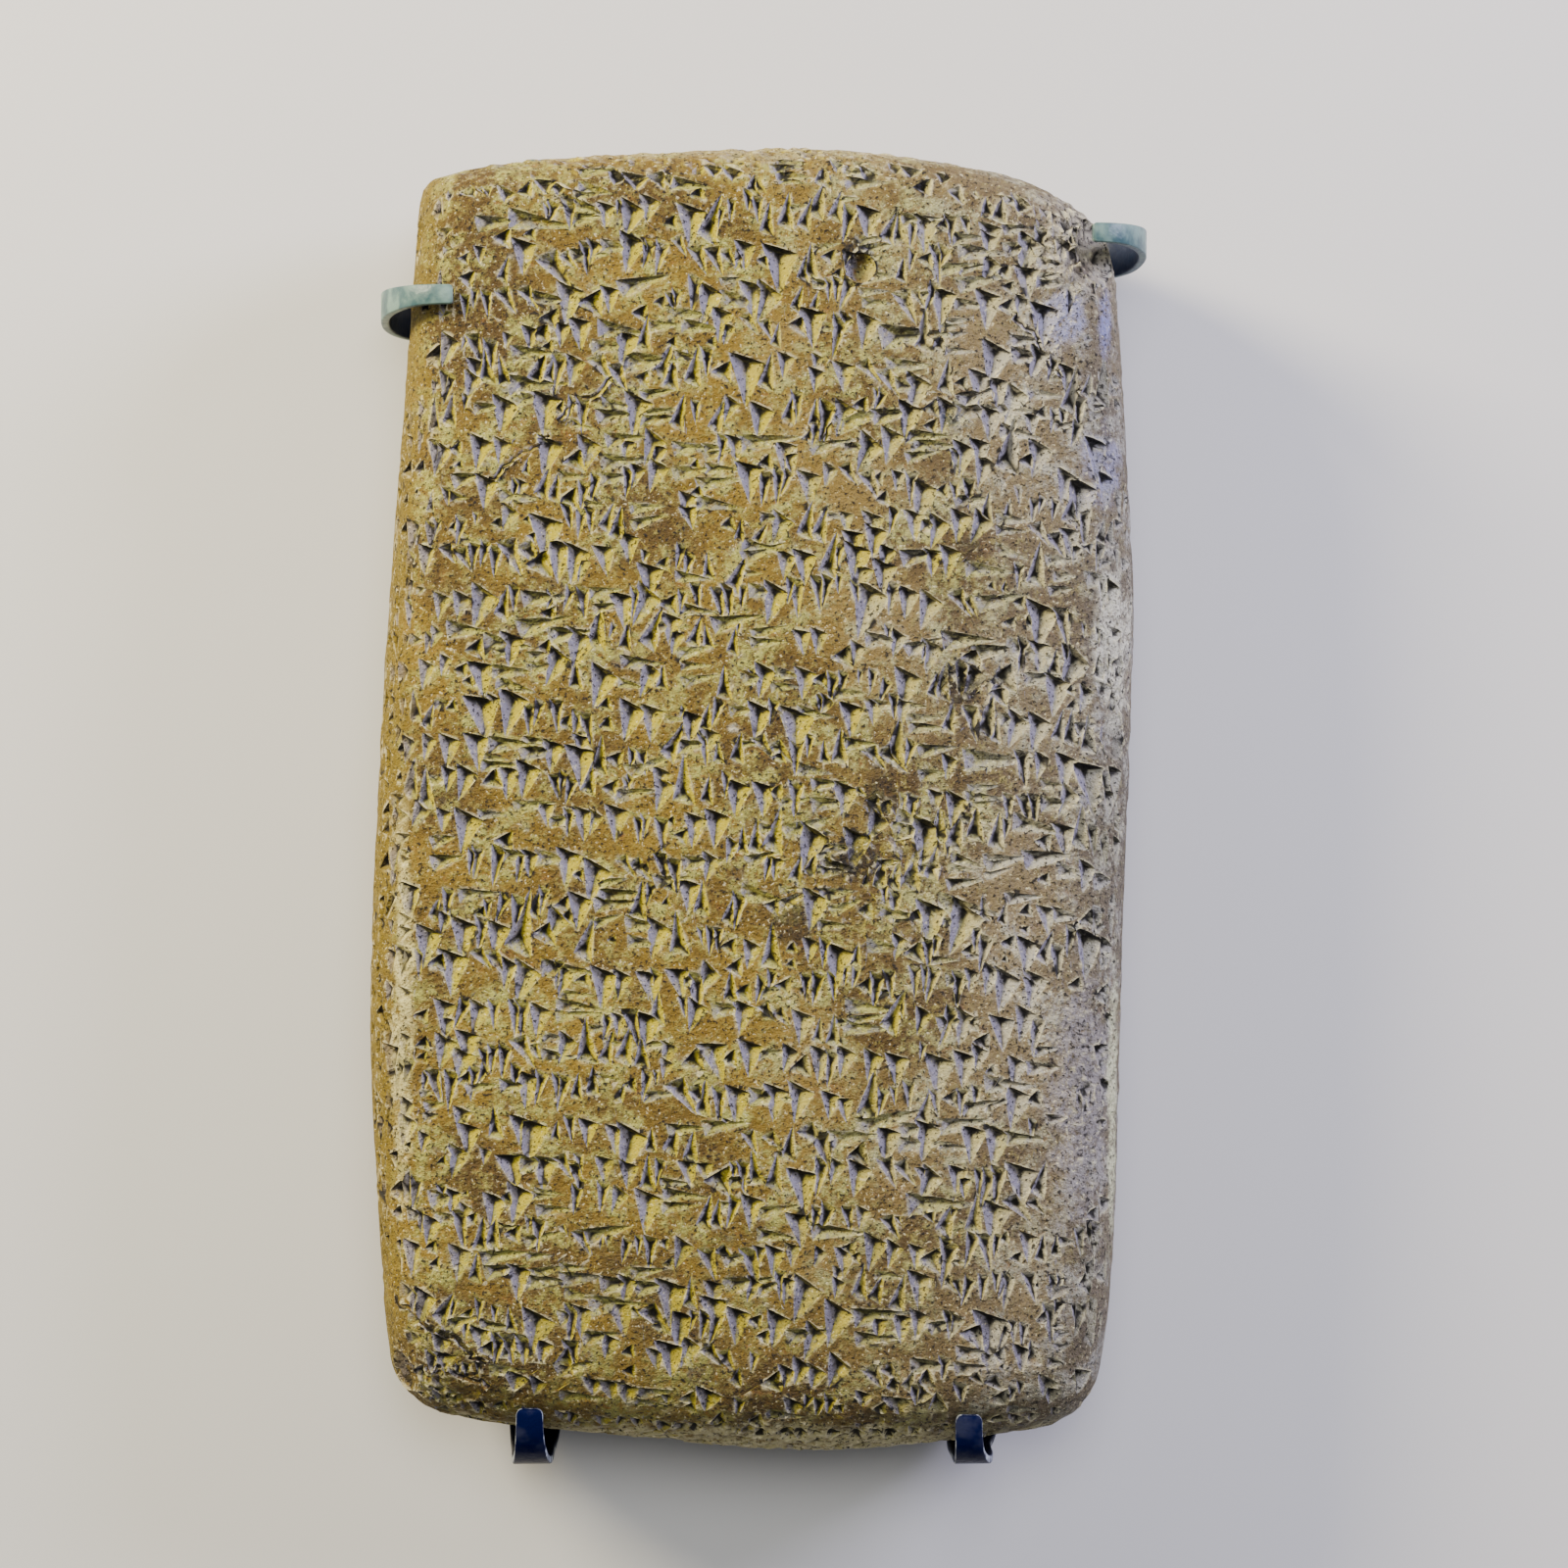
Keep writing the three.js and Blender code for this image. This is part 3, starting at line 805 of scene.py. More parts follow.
@dataclass
class Writing:
    """Rows of pressed wedges that follow the curved ends of the tablet."""

    row_pitch: float = 4.55
    top_margin: float = 3.0
    bottom_margin: float = 0.5
    left_margin: float = 1.8
    right_margin: float = 3.0
    crowding: float = 0.87
    row_wave: float = 0.55
    wave_length: float = 11.0
    wave_shift: float = 1.7
    start_spread: float = 2.0
    pitch_spread: float = 0.08
    sign_shift: float = 0.5
    place_spread: float = 0.32
    size_spread: float = 0.22
    turn_spread: float = 8.0
    depth_range: Range = (0.75, 1.15)
    twist_spread: float = 2.5
    edge: float = 0.975
    lift: float = 0.55
    wall_lines: Sequence[float] = (0.25, 1.3, 2.7)
    wall_span: Range = (-0.72, 0.62)
    wall_pitch: float = 1.6
    wall_spread: float = 0.006
    edge_lines: Sequence[float] = (0.2, 1.0, 3.9)
    edge_span: Range = (-0.86, 0.86)
    edge_pitch: float = 1.2
    edge_spread: float = 0.01
    bare: Sequence[BareArea] = (
        BareArea(0.86, -0.44, 0.11, 0.19, 0.95), BareArea(0.97, 0.2, 0.05, 0.14, 0.7),
        BareArea(0.93, 0.86, 0.13, 0.1, 0.85), BareArea(-0.3, 0.43, 0.1, 0.03, 0.5))
    seed: int = 29

    def on_face(self, form: ClayForm) -> PressList:
        """Lay out the rows of the face.

        Args:
            form: the body that they are pressed into.

        Returns:
            Every stroke of the face.
        """
        random = np.random.default_rng(self.seed)
        presses = PressList()
        rows = int((form.height - self.top_margin - self.bottom_margin) / self.row_pitch)
        for row in range(rows):
            from_left = self.left_margin + random.uniform(0, self.start_spread)
            while from_left < form.width - self.right_margin:
                sign = SIGNS[random.integers(len(SIGNS))]
                wave = math.sin(from_left / self.wave_length + row * self.wave_shift)
                drift = self.row_wave * wave + random.normal(0, self.sign_shift)
                for press in sign.presses:
                    x = from_left + press.right + random.normal(0, self.place_spread)
                    y = self.top_margin + (row + 0.5) * self.row_pitch - press.above + drift
                    y += random.normal(0, self.place_spread)
                    across, up = 2 * x / form.width - 1, 1 - 2 * y / form.height
                    if across < self.edge and abs(up) < self.edge:
                        self.press(form, presses, random, press, across, up)
                spread = random.uniform(1 - self.pitch_spread, 1 + self.pitch_spread)
                from_left += sign.width * self.crowding * spread
        self.on_walls(form, presses, random)
        return presses

    def on_walls(self, form: ClayForm, presses: PressList, random: np.random.Generator) -> None:
        """Add the lines of small strokes that run down the left wall and over the bottom edge.

        Args:
            form: the body.
            presses: the list that they go to.
            random: where their small differences come from.
        """
        step = self.wall_pitch * self.row_pitch / form.height
        for inside in self.wall_lines:
            for up in np.arange(*self.wall_span, step):
                across = 2 * inside / form.width_at(np.array(up)) - 1
                press = EDGE_SIGN[random.integers(len(EDGE_SIGN))]
                shifted = up + random.normal(0, self.wall_spread)
                self.press(form, presses, random, press, float(across), shifted)
        for inside in self.edge_lines:
            for across in np.arange(*self.edge_span, self.edge_pitch * step):
                up = 2 * inside / form.height_at(np.array(across)) - 1
                press = EDGE_SIGN[random.integers(len(EDGE_SIGN))]
                shifted = across + random.normal(0, self.edge_spread)
                self.press(form, presses, random, press, shifted, float(up))

    def press(self, form: ClayForm, presses: PressList, random: np.random.Generator,
              press: Press, across: float, up: float) -> None:
        """Press one stroke, unless it falls where the clay is rubbed bare.

        Args:
            form: the body.
            presses: the list that it goes to.
            random: where its small differences come from.
            press: the stroke.
            across: its place across.
            up: its place up.
        """
        size = press.size * (1 + random.normal(0, self.size_spread))
        turn = press.stroke.turn + random.normal(0, self.turn_spread)
        deep = random.uniform(*self.depth_range)
        if random.uniform() < max(area.cover_at(across, up) for area in self.bare):
            return
        place = form.points(across, up)[()]
        outward = form.normals(np.array(across), np.array(up))
        stroke = press.stroke
        shape = Vector((stroke.head * size, stroke.length * size, stroke.depth * size * deep))
        presses.add(stroke.wedge, Vector(place), Vector(outward), turn, shape)

    def tree(self) -> GeometryTree:
        """Build the tree that presses a wedge of the right shape at every point.

        Returns:
            The tree.
        """
        tree = GeometryTree("Press wedges")
        spread = tree.input("Turn spread", "NodeSocketFloat")
        seed = tree.input("Seed", "NodeSocketInt")
        turn = tree.add("FunctionNodeEulerToRotation", {0: tree.field("turn", "FLOAT_VECTOR")}).outputs[0]
        limits = {"Min": tree.math("MULTIPLY", spread, -1.0), "Max": spread, "Seed": seed}
        wobble = tree.add("FunctionNodeRandomValue", limits, data_type="FLOAT")
        twist = tree.add("ShaderNodeCombineXYZ", {"Z": wobble.outputs[1]}).outputs[0]
        small = tree.add("FunctionNodeEulerToRotation", {0: twist}).outputs[0]
        turned = tree.add("FunctionNodeRotateRotation", {0: turn, 1: small}, rotation_space="LOCAL")
        size, which = tree.field("size", "FLOAT_VECTOR"), tree.field("wedge", "INT")
        joined = tree.add("GeometryNodeJoinGeometry")
        for number, wedge in enumerate(Wedge):
            shape = tree.input(wedge.name, "NodeSocketObject")
            cutter = tree.add("GeometryNodeObjectInfo", {"Object": shape})
            chosen = tree.add(
                "FunctionNodeCompare", {2: which, 3: number}, data_type="INT", operation="EQUAL")
            pressed = tree.add("GeometryNodeInstanceOnPoints", {
                "Points": tree.entry.outputs[0], "Selection": chosen.outputs[0],
                "Instance": cutter.outputs["Geometry"], "Rotation": turned.outputs[0], "Scale": size})
            tree.tree.links.new(pressed.outputs[0], joined.inputs[0])
        tree.finish(joined.outputs[0])
        return tree

    def cutters(self, presses: PressList, material: bpy.types.Material) -> list[bpy.types.Object]:
        """Make the cutters, one object for each batch of strokes that don't touch.

        Args:
            presses: the strokes.
            material: what marks the pressed clay.

        Returns:
            The cutters.
        """
        tree = self.tree()
        shapes = {wedge.name: new_object(wedge.name, wedge.mesh(self.lift)) for wedge in Wedge}
        numbers = {wedge: number for number, wedge in enumerate(Wedge)}
        made = []
        for count, batch in enumerate(presses.batches()):
            mesh = mesh_from("press_points", np.array([presses.places[i] for i in batch]), [])
            store(mesh, "turn", "FLOAT_VECTOR", "POINT", [presses.turns[i] for i in batch])
            store(mesh, "size", "FLOAT_VECTOR", "POINT", [presses.sizes[i] for i in batch])
            store(mesh, "wedge", "INT", "POINT", [numbers[presses.wedges[i]] for i in batch])
            points = new_object("press_points", mesh)
            result = tree.run(points, f"strokes_{count}", {
                **shapes, "Turn spread": math.radians(self.twist_spread), "Seed": self.seed + count,
                "Material": material})
            made.append(new_object(f"strokes_{count}", result))
            discard([points])
        discard(shapes.values())
        LOG.info("%d strokes in %d batches", len(presses.places), len(made))
        return made


@dataclass(frozen=True)
class Spot:
    """A round area of the face, in millimetres from the tablet's middle."""

    x: float
    y: float
    radius_x: float
    radius_y: float
    strength: float = 1.0

    def cover(self, points: np.ndarray) -> np.ndarray:
        """Tell how much the spot covers each point, with a soft edge and up to its strength."""
        away = ((points[:, 0] - self.x) / self.radius_x) ** 2 + ((points[:, 1] - self.y) / self.radius_y) ** 2
        return self.strength * np.exp(-away)


@dataclass(frozen=True)
class StainAndLight:
    """A discoloured patch, which ends at a level on the walls. Most are the clay's own; a few are painted
    light and shade.
    """

    spot: Spot
    colour: str
    lowest: float = 17.0


@dataclass(frozen=True)
class Chip:
    """A broken place: where, the radius of the bite and how deep it goes."""

    across: float
    up: float
    radius: float
    bite: float


@dataclass(frozen=True)
class Crack:
    """A hairline crack through a few places of the face, in millimetres from the tablet's middle."""

    places: tuple[Range, ...]
    width: float = 0.5
    step: float = 0.8
    jitter: float = 0.28
    sides: int = 4

    def cutter(self, form: ClayForm, number: int, material: bpy.types.Material) -> bpy.types.Object:
        """Make the thin tube that opens the crack.

        Args:
            form: the body that is cracked.
            number: the crack's number, which seeds its jagged path.
            material: what its walls are made of.

        Returns:
            The cutter.
        """
        random = np.random.default_rng(number)
        corners = np.array(self.places)
        lengths = lengths_along(corners)
        stops = np.linspace(0, lengths[-1], int(lengths[-1] / self.step) + 2)
        path = np.stack([np.interp(stops, lengths, corners[:, k]) for k in (0, 1)], axis=1)
        path += random.normal(0, self.jitter, path.shape)
        guide = new_path("crack_path", form.points(path[:, 0] * 2 / form.width, path[:, 1] * 2 / form.height))
        tree = GeometryTree("Crack")
        feeds = {"Resolution": self.sides, "Radius": tree.input("Radius", "NodeSocketFloat")}
        tree.sweep(tree.add("GeometryNodeCurvePrimitiveCircle", feeds).outputs[0])
        mesh = tree.run(guide, "crack", {"Radius": self.width / 2 * MM, "Material": material})
        discard([guide])
        with opened(mesh) as shell:
            bmesh.ops.recalc_face_normals(shell, faces=shell.faces)
        return new_object("crack", mesh)


@dataclass(frozen=True)
class ClayFinish:
    """Matt baked clay: brown ochre where it was smoothed, and paler where it was pressed.

    Painted light lies on the walls of the strokes: grey-lilac on the slopes that fall to the right, where the
    cool light falls, and yellow on those that fall to the left, where the warm light falls. The right half is
    painted greyer, where the cool light falls, and the left wall yellower, where the warm light falls. The
    creases and the downward walls of the strokes' heads take painted shade in the colour of the real dark
    flecks, and the ridges are paler, as crumbled clay and as a painted highlight.
    A span says from which value of its pattern a layer starts to show, and where it shows in full.
    """

    skin: str = "7c6418"
    skin_dark: str = "4c3911"
    skin_light: str = "8f8340"
    skin_red: str = "744f1b"
    pressed: str = "9d9b4e"
    pressed_grey: str = "7d7c69"
    warm_light_yellow: str = "aa9c20"
    cool_light_lilac: str = "88838f"
    lit_wall: str = "6f5d06"
    far_side: str = "6b665e"
    far_cool_lit_pale: str = "9d9a90"
    dirt_and_shade: str = "0c0909"
    crumbs_and_highlight: str = "ece3b8"
    cloud: Speckle = Speckle(60.0, 4)
    patch: Speckle = Speckle(210.0, 5, 0.65)
    blotch: Speckle = Speckle(420.0, 4, 0.7)
    grain: Speckle = Speckle(900.0, 4, 0.75)
    fleck: Speckle = Speckle(2100.0, 2, 0.6)
    skin_clouds: Range = (0.35, 0.65)
    red_blotches: Range = (0.55, 0.7)
    light_grains: Range = (0.5, 0.7)
    grey_blotches: Range = (0.5, 0.38)
    pressed_grains: Range = (0.3, 0.55)
    dusty_patches: Range = (0.47, 0.62)
    dusty_grains: Range = (0.35, 0.6)
    lilac_slopes: Range = (0.15, 0.5)
    yellow_slopes: Range = (-0.1, -0.5)
    stained_and_lit_grains: Range = (0.3, 0.56)
    ridges: Range = (-0.06, -0.3)
    ridge_share: float = 0.4
    grit_flecks: Range = (0.38, 0.28)
    grit_share: float = 0.5
    dark_flecks: Range = (0.57, 0.67)
    dark_share: float = 0.9
    creases: Range = (0.05, 0.36)
    crease_share: float = 0.95
    far_places: Range = (0.0, 0.045)
    far_waver: float = 0.06
    far_share: float = 0.6
    slope_waver: float = 0.7
    grain_height: float = 0.7
    fleck_height: float = 0.4
    bump_strength: float = 1.0
    bump_height: float = 0.0009
    roughness: float = 0.8
    gleam: float = 0.35

    def material(self, name: str) -> bpy.types.Material:
        """Make the material.

        Args:
            name: its name.

        Returns:
            The material.
        """
        graph = Surface(name)
        cloud, patch, blotch, grain, fleck = (
            graph.speckle(kind) for kind in (self.cloud, self.patch, self.blotch, self.grain, self.fleck))
        stain = graph.add("ShaderNodeAttribute", attribute_name="stain")
        hollow = graph.attribute("hollow")

        across = graph.add("ShaderNodeSeparateXYZ", {0: graph.place}).outputs["X"]
        # Painted light: the right half turns greyer, where the cool light falls.
        far = graph.between(graph.waver(cloud, self.far_waver, across), self.far_places)
        skin = graph.tint(graph.between(cloud, self.skin_clouds), linear(self.skin_dark), self.skin)
        skin = graph.tint(graph.between(blotch, self.red_blotches), skin, self.skin_red)
        skin = graph.tint(graph.between(grain, self.light_grains), skin, self.skin_light)
        skin = graph.tint(graph.math("MULTIPLY", far, self.far_share), skin, self.far_side)
        dust = graph.tint(graph.between(blotch, self.grey_blotches), linear(self.pressed), self.pressed_grey)
        dust = graph.tint(far, dust, self.far_cool_lit_pale)
        pressed = graph.part(grain, self.pressed_grains, graph.attribute("pressed"))
        around = graph.part(patch, self.dusty_patches, graph.between(grain, self.dusty_grains))
        base = graph.blend(graph.math("MAXIMUM", pressed, around), skin, dust)

        # Painted light on the strokes' walls: lilac where they face the cool light on the right, yellow where
        # they face the warm light on the left.
        slope = graph.waver(grain, self.slope_waver, graph.attribute("fall"))
        base = graph.tint(graph.between(slope, self.lilac_slopes), base, self.cool_light_lilac)
        yellow = graph.tint(far, linear(self.warm_light_yellow), self.far_cool_lit_pale)
        base = graph.blend(graph.between(slope, self.yellow_slopes), base, yellow)
        # Painted light: the left wall yellower, where the warm light falls on it.
        base = graph.tint(graph.attribute("wall"), base, self.lit_wall)
        # Real discolouring, and the patches of painted light and shade listed with it.
        stained_and_lit = graph.part(grain, self.stained_and_lit_grains, stain.outputs["Alpha"])
        base = graph.blend(stained_and_lit, base, stain.outputs["Color"])

        # Pale crumbled clay on the ridges, which also serves as a painted highlight, and real pale grit.
        ridge = graph.part(hollow, self.ridges, self.ridge_share)
        grit = graph.part(fleck, self.grit_flecks, self.grit_share)
        base = graph.tint(graph.math("MAXIMUM", ridge, grit), base, self.crumbs_and_highlight)
        # Real dark flecks, and painted shade in the creases and on the downward walls of the strokes' heads.
        dark = graph.part(fleck, self.dark_flecks, self.dark_share)
        crease = graph.part(hollow, self.creases, self.crease_share)
        dark_flecks_and_shade = graph.math("MAXIMUM", graph.math("MAXIMUM", dark, crease), graph.attribute("head"))
        base = graph.tint(dark_flecks_and_shade, base, self.dirt_and_shade)

        low = graph.math("MULTIPLY", fleck, self.fleck_height)
        relief = graph.math("MULTIPLY_ADD", grain, self.grain_height, low)
        feeds = {"Base Color": base, "Roughness": self.roughness, "Specular IOR Level": self.gleam}
        return graph.finish(feeds, relief, self.bump_strength, self.bump_height)


@dataclass(frozen=True)
class Cloud:
    """Cloudy noise about 0: how many clouds to a millimetre, how its finer layers fade and their number."""

    scale: float
    fading: float
    layers: int

    def at(self, points: np.ndarray) -> np.ndarray:
        """Give the noise's value at each point."""
        finer = self.fading, LAYER_STEP, self.layers
        return np.array([noise.fractal(Vector(p) * self.scale, *finer) for p in points])


@dataclass
class Tablet:
    """The clay tablet: its body, its writing, its breaks and its finish.

    Noise of three sizes moves its points inwards, most along the rim and where it is crumbled. For the finish
    it is marked with its discoloured patches, a few of which are painted light and painted shade, its hollows
    and its left wall, which is painted as lit and lies outside an edge that is given at four heights.
    """

    form: ClayForm = field(default_factory=ClayForm)
    writing: Writing = field(default_factory=Writing)
    finish: ClayFinish = field(default_factory=ClayFinish)
    chips: Sequence[Chip] = (
        Chip(0.93, 0.93, 9, 1.8), Chip(0.93, 0.14, 5, 1), Chip(-0.99, 0.9, 4, 0.8),
        Chip(-0.96, -0.95, 7, 1.2), Chip(0.99, -0.98, 6, 1.1), Chip(0.24, 0.8, 1.7, 1.5))
    crumbled: Sequence[Spot] = (
        Spot(39, 67, 7, 8), Spot(-41, -72, 8, 6), Spot(44, 15, 3, 6), Spot(0, 79, 48, 4, 0.7),
        Spot(16, -7, 9, 8, 0.6), Spot(25, 14, 4, 5, 0.6), Spot(40, -36, 5, 16, 0.7), Spot(0, -77, 44, 3, 0.7))
    stains_and_light: Sequence[StainAndLight] = (
        # Painted shade: the lower end darker, as the light falls off towards it.
        StainAndLight(Spot(0, -95, 75, 52, 0.4), "2b2215", 3.0),
        # The second patch is a painted highlight: the pale band on the worn right edge, where the cool light
        # falls.
        StainAndLight(Spot(38.5, -36, 4.5, 16, 0.9), "8f8987"), StainAndLight(Spot(42.5, 18, 3, 12, 0.85), "d2ceb8"),
        # The second patch, and both on the next line, are painted highlights: lilac where the cool light
        # falls on smooth places by the right edge.
        StainAndLight(Spot(39, 66, 7, 7, 0.8), "a29a87"), StainAndLight(Spot(36, 57, 3, 4, 0.9), "8e8faa"),
        StainAndLight(Spot(41.6, 57.5, 1.1, 4.5), "8284ad"), StainAndLight(Spot(41, 40, 3, 5, 0.8), "8b8aa2"),
        # Both patches are painted highlights: pale lines along the right and the left arris, where the light
        # catches them.
        StainAndLight(Spot(42.8, -36, 0.9, 19, 0.9), "cfd0a8"), StainAndLight(Spot(-41.8, -26, 1.4, 25, 0.9), "c0b67c"),
        StainAndLight(Spot(30.7, 46, 2, 2.5, 0.8), "aaa68c"), StainAndLight(Spot(-3.1, 8.6, 1.0, 0.7, 0.65), "cfcab2"),
        StainAndLight(Spot(0, 78, 44, 2.2, 0.7), "9b8f66"), StainAndLight(Spot(10.8, -7.3, 4, 3, 0.9), "17110f"),
        StainAndLight(Spot(24.1, 13.6, 2.5, 3, 0.85), "1a1313"), StainAndLight(Spot(14.3, 0.3, 2.5, 3, 0.8), "1c1512"),
        StainAndLight(Spot(3.8, -14.8, 3, 3, 0.7), "241a14"), StainAndLight(Spot(25.3, 29.9, 2.5, 2, 0.7), "1f1715"),
        StainAndLight(Spot(22.9, 45.6, 1.3, 1.6), "0f2228"), StainAndLight(Spot(-26.6, 76.8, 0.9, 0.9), "12606a"),
        # The first patch is painted light: the bottom rim paler, where it turns away from the lights into
        # shade.
        StainAndLight(Spot(0, -77.5, 46, 4, 0.8), "c2b98c", 8.0), StainAndLight(Spot(11.6, 64.8, 1.8, 2.2), "0f0b0a"),
        StainAndLight(Spot(38.5, 63.5, 1.6, 1.4, 0.8), "3a2d20"),
    )
    cracks: Sequence[Crack] = (
        Crack(((-26.5, 45.2), (-24.2, 47.4), (-21.6, 48.2), (-19.9, 50.1))),
        Crack(((-34.6, 38.2), (-31.4, 40.8), (-28.0, 42.6), (-27.6, 43.6))),
        Crack(((-44.5, -64.5), (-40.8, -66.2), (-37.2, -66.9), (-33.5, -69.8))),
        Crack(((-41.0, -70.6), (-37.0, -71.8), (-33.2, -72.6))),
        Crack(((30.0, 60.5), (33.1, 58.2), (35.4, 54.8), (39.0, 53.3))),
    )
    longest_edges: Range = (1.92, 0.96)
    face_level: float = 20.0
    back_coarseness: float = 2.4
    inset: float = 0.07
    fine: Cloud = Cloud(1.1, 0.7, 3)
    rough_fine: float = 0.08
    coarse_scale: float = 0.24
    rough_coarse: float = 0.16
    lump_scale: float = 0.55
    lump_shift: tuple[float, float, float] = (9.0, 9.0, 9.0)
    rim_middle: float = 0.5
    rim_across: Range = (41, 46)
    rim_up: Range = (70, 78)
    rim_wear: float = 0.6
    crumble: float = 0.8
    crumble_lumps: float = 0.6
    crumble_levels: Range = (14, 20)
    rest_levels: Range = (0.05, 0.6)
    crease_angle: float = 42.0
    sharpness: float = 0.75
    break_scale: float = 350.0
    break_fading: float = 0.9
    break_layers: int = 4
    break_fineness: int = 4
    break_roughness: float = 0.09
    cloud: Cloud = Cloud(0.35, 0.8, 4)
    stain_and_light_edge: Range = (0.3, 0.75)
    stain_and_light_waver: float = 0.35
    stain_and_light_level_waver: float = 2.0
    stain_and_light_level_band: float = 3.0
    faintest: float = 1e-6
    wall_ups: Sequence[float] = (-80, -30, 30, 80)
    wall_edges: Sequence[float] = (-45, -46.5, -44.5, -41)
    wall_reach: float = 6.0
    wall_band: float = 5.0
    wall_waver: float = 2.0
    wall_levels: Range = (6, 15)
    wall_level_waver: float = 3.0
    head_shade_lean: Range = (0.4, 0.85)
    shortest: float = 1e-9

    def build(self) -> bpy.types.Object:
        """Press, break and roughen the body.

        Returns:
            The finished tablet.
        """
        clay, pressed = self.finish.material("clay"), bpy.data.materials.new("pressed")
        smooth = self.form.body()
        smooth.materials.append(clay)
        body = new_object("tablet_clay", smooth.copy())
        cutters = self.writing.cutters(self.writing.on_face(self.form), pressed)
        cutters.append(self.breaks(clay))
        cutters.extend(crack.cutter(self.form, number, clay) for number, crack in enumerate(self.cracks))
        for cutter in cutters:
            self.subtract(body, cutter)
        discard(cutters)
        mesh = body.data
        self.refine(mesh)
        self.roughen(mesh)
        self.mark(mesh, smooth)
        mesh.materials.clear()
        mesh.materials.append(clay)
        bpy.data.materials.remove(pressed)
        mesh.shade_smooth()
        mesh.set_sharp_from_angle(angle=math.radians(self.crease_angle))
        return body

    def subtract(self, body: bpy.types.Object, cutter: bpy.types.Object) -> None:
        """Cut one shape out of the body.

        Args:
            body: the object that is cut.
            cutter: the shape.
        """
        modifier = body.modifiers.new("cut", "BOOLEAN")
        modifier.operation = "DIFFERENCE"
        modifier.solver = "MANIFOLD"
        modifier.material_mode = "TRANSFER"
        modifier.object = cutter
        cut = plain_mesh(body, "tablet_clay")
        body.modifiers.remove(modifier)
        body.data = cut

    def breaks(self, material: bpy.types.Material) -> bpy.types.Object:
        """Make the rough balls that bite the broken places out.

        Args:
            material: what the broken surface is made of.

        Returns:
            One object with all the balls.
        """
        mesh = bpy.data.meshes.new("breaks")
        with opened(mesh) as shell:
            for chip in self.chips:
                across, up = np.array(chip.across), np.array(chip.up)
                outward = self.form.normals(across, up)
                middle = Vector(self.form.points(across, up) + outward * (chip.radius - chip.bite))
                radius = chip.radius * MM
                ball = bmesh.ops.create_icosphere(shell, subdivisions=self.break_fineness, radius=radius)
                for vertex in ball["verts"]:
                    place = vertex.co * self.break_scale + middle
                    rough = noise.fractal(place, self.break_fading, LAYER_STEP, self.break_layers)
                    vertex.co = vertex.co * (1 + self.break_roughness * rough) + middle * MM
        mesh.materials.append(material)
        return new_object("breaks", mesh)

    def refine(self, mesh: bpy.types.Mesh) -> None:
        """Split long edges, so that the roughness has points to move.

        Args:
            mesh: the body, which is changed.
        """
        with opened(mesh) as shell:
            bmesh.ops.triangulate(shell, faces=shell.faces)
            level = self.face_level * MM
            for longest in self.longest_edges:
                on_face, on_back = longest * MM, longest * MM * self.back_coarseness
                longer = [
                    edge for edge in shell.edges
                    if edge.calc_length() > (on_face if edge.verts[0].co.z > level else on_back)]
                bmesh.ops.subdivide_edges(shell, edges=longer, cuts=1)
                bmesh.ops.triangulate(shell, faces=shell.faces)

    def roughen(self, mesh: bpy.types.Mesh) -> None:
        """Move the points inwards by small uneven amounts, most along the worn rim.

        Args:
            mesh: the body, which is changed.
        """
        points = mesh_points(mesh)
        level = points[:, 2]
        fine = self.fine.at(points)
        coarse = np.array([noise.noise(Vector(p) * self.coarse_scale) for p in points])
        lumps = np.array([noise.noise(Vector(p) * self.lump_scale + Vector(self.lump_shift)) for p in points])
        near_rim = np.maximum(
            smooth_step(np.abs(points[:, 0] - self.rim_middle), *self.rim_across),
            smooth_step(np.abs(points[:, 1]), *self.rim_up))
        inwards = self.rough_fine * (np.clip(fine, -1, 1) - 1)
        inwards = inwards + self.rough_coarse * (coarse - 1) / 2 - self.inset
        inwards += self.rim_wear * near_rim * np.minimum(lumps, 0)
        loose = np.max([spot.cover(points) for spot in self.crumbled], axis=0)
        loose *= smooth_step(level, *self.crumble_levels)
        inwards += self.crumble * loose * (np.clip(fine + self.crumble_lumps * lumps, -1, 1) - 1) / 2
        inwards *= smooth_step(level, *self.rest_levels)
        move_points(mesh, points + point_rows(mesh, "normal") * inwards[:, None])

    def mark(self, mesh: bpy.types.Mesh, smooth: bpy.types.Mesh) -> None:
        """Store what the finish needs to know of the surface.

        Args:
            mesh: the roughened body.
            smooth: the body before it was pressed.
        """
        points = mesh_points(mesh)
        cloud = self.cloud.at(points)
        store(mesh, "stain", "FLOAT_COLOR", "POINT", self.stained_and_lit(points, cloud))
        store(mesh, "hollow", "FLOAT", "POINT", self.hollows(mesh, points))
        store(mesh, "wall", "FLOAT", "POINT", self.lit_wall(points, cloud))
        for name, values in self.pressed_faces(mesh, smooth).items():
            store(mesh, name, "FLOAT", "CORNER", self.soften(mesh, values))
        mesh.polygons.foreach_set("material_index", [0] * len(mesh.polygons))

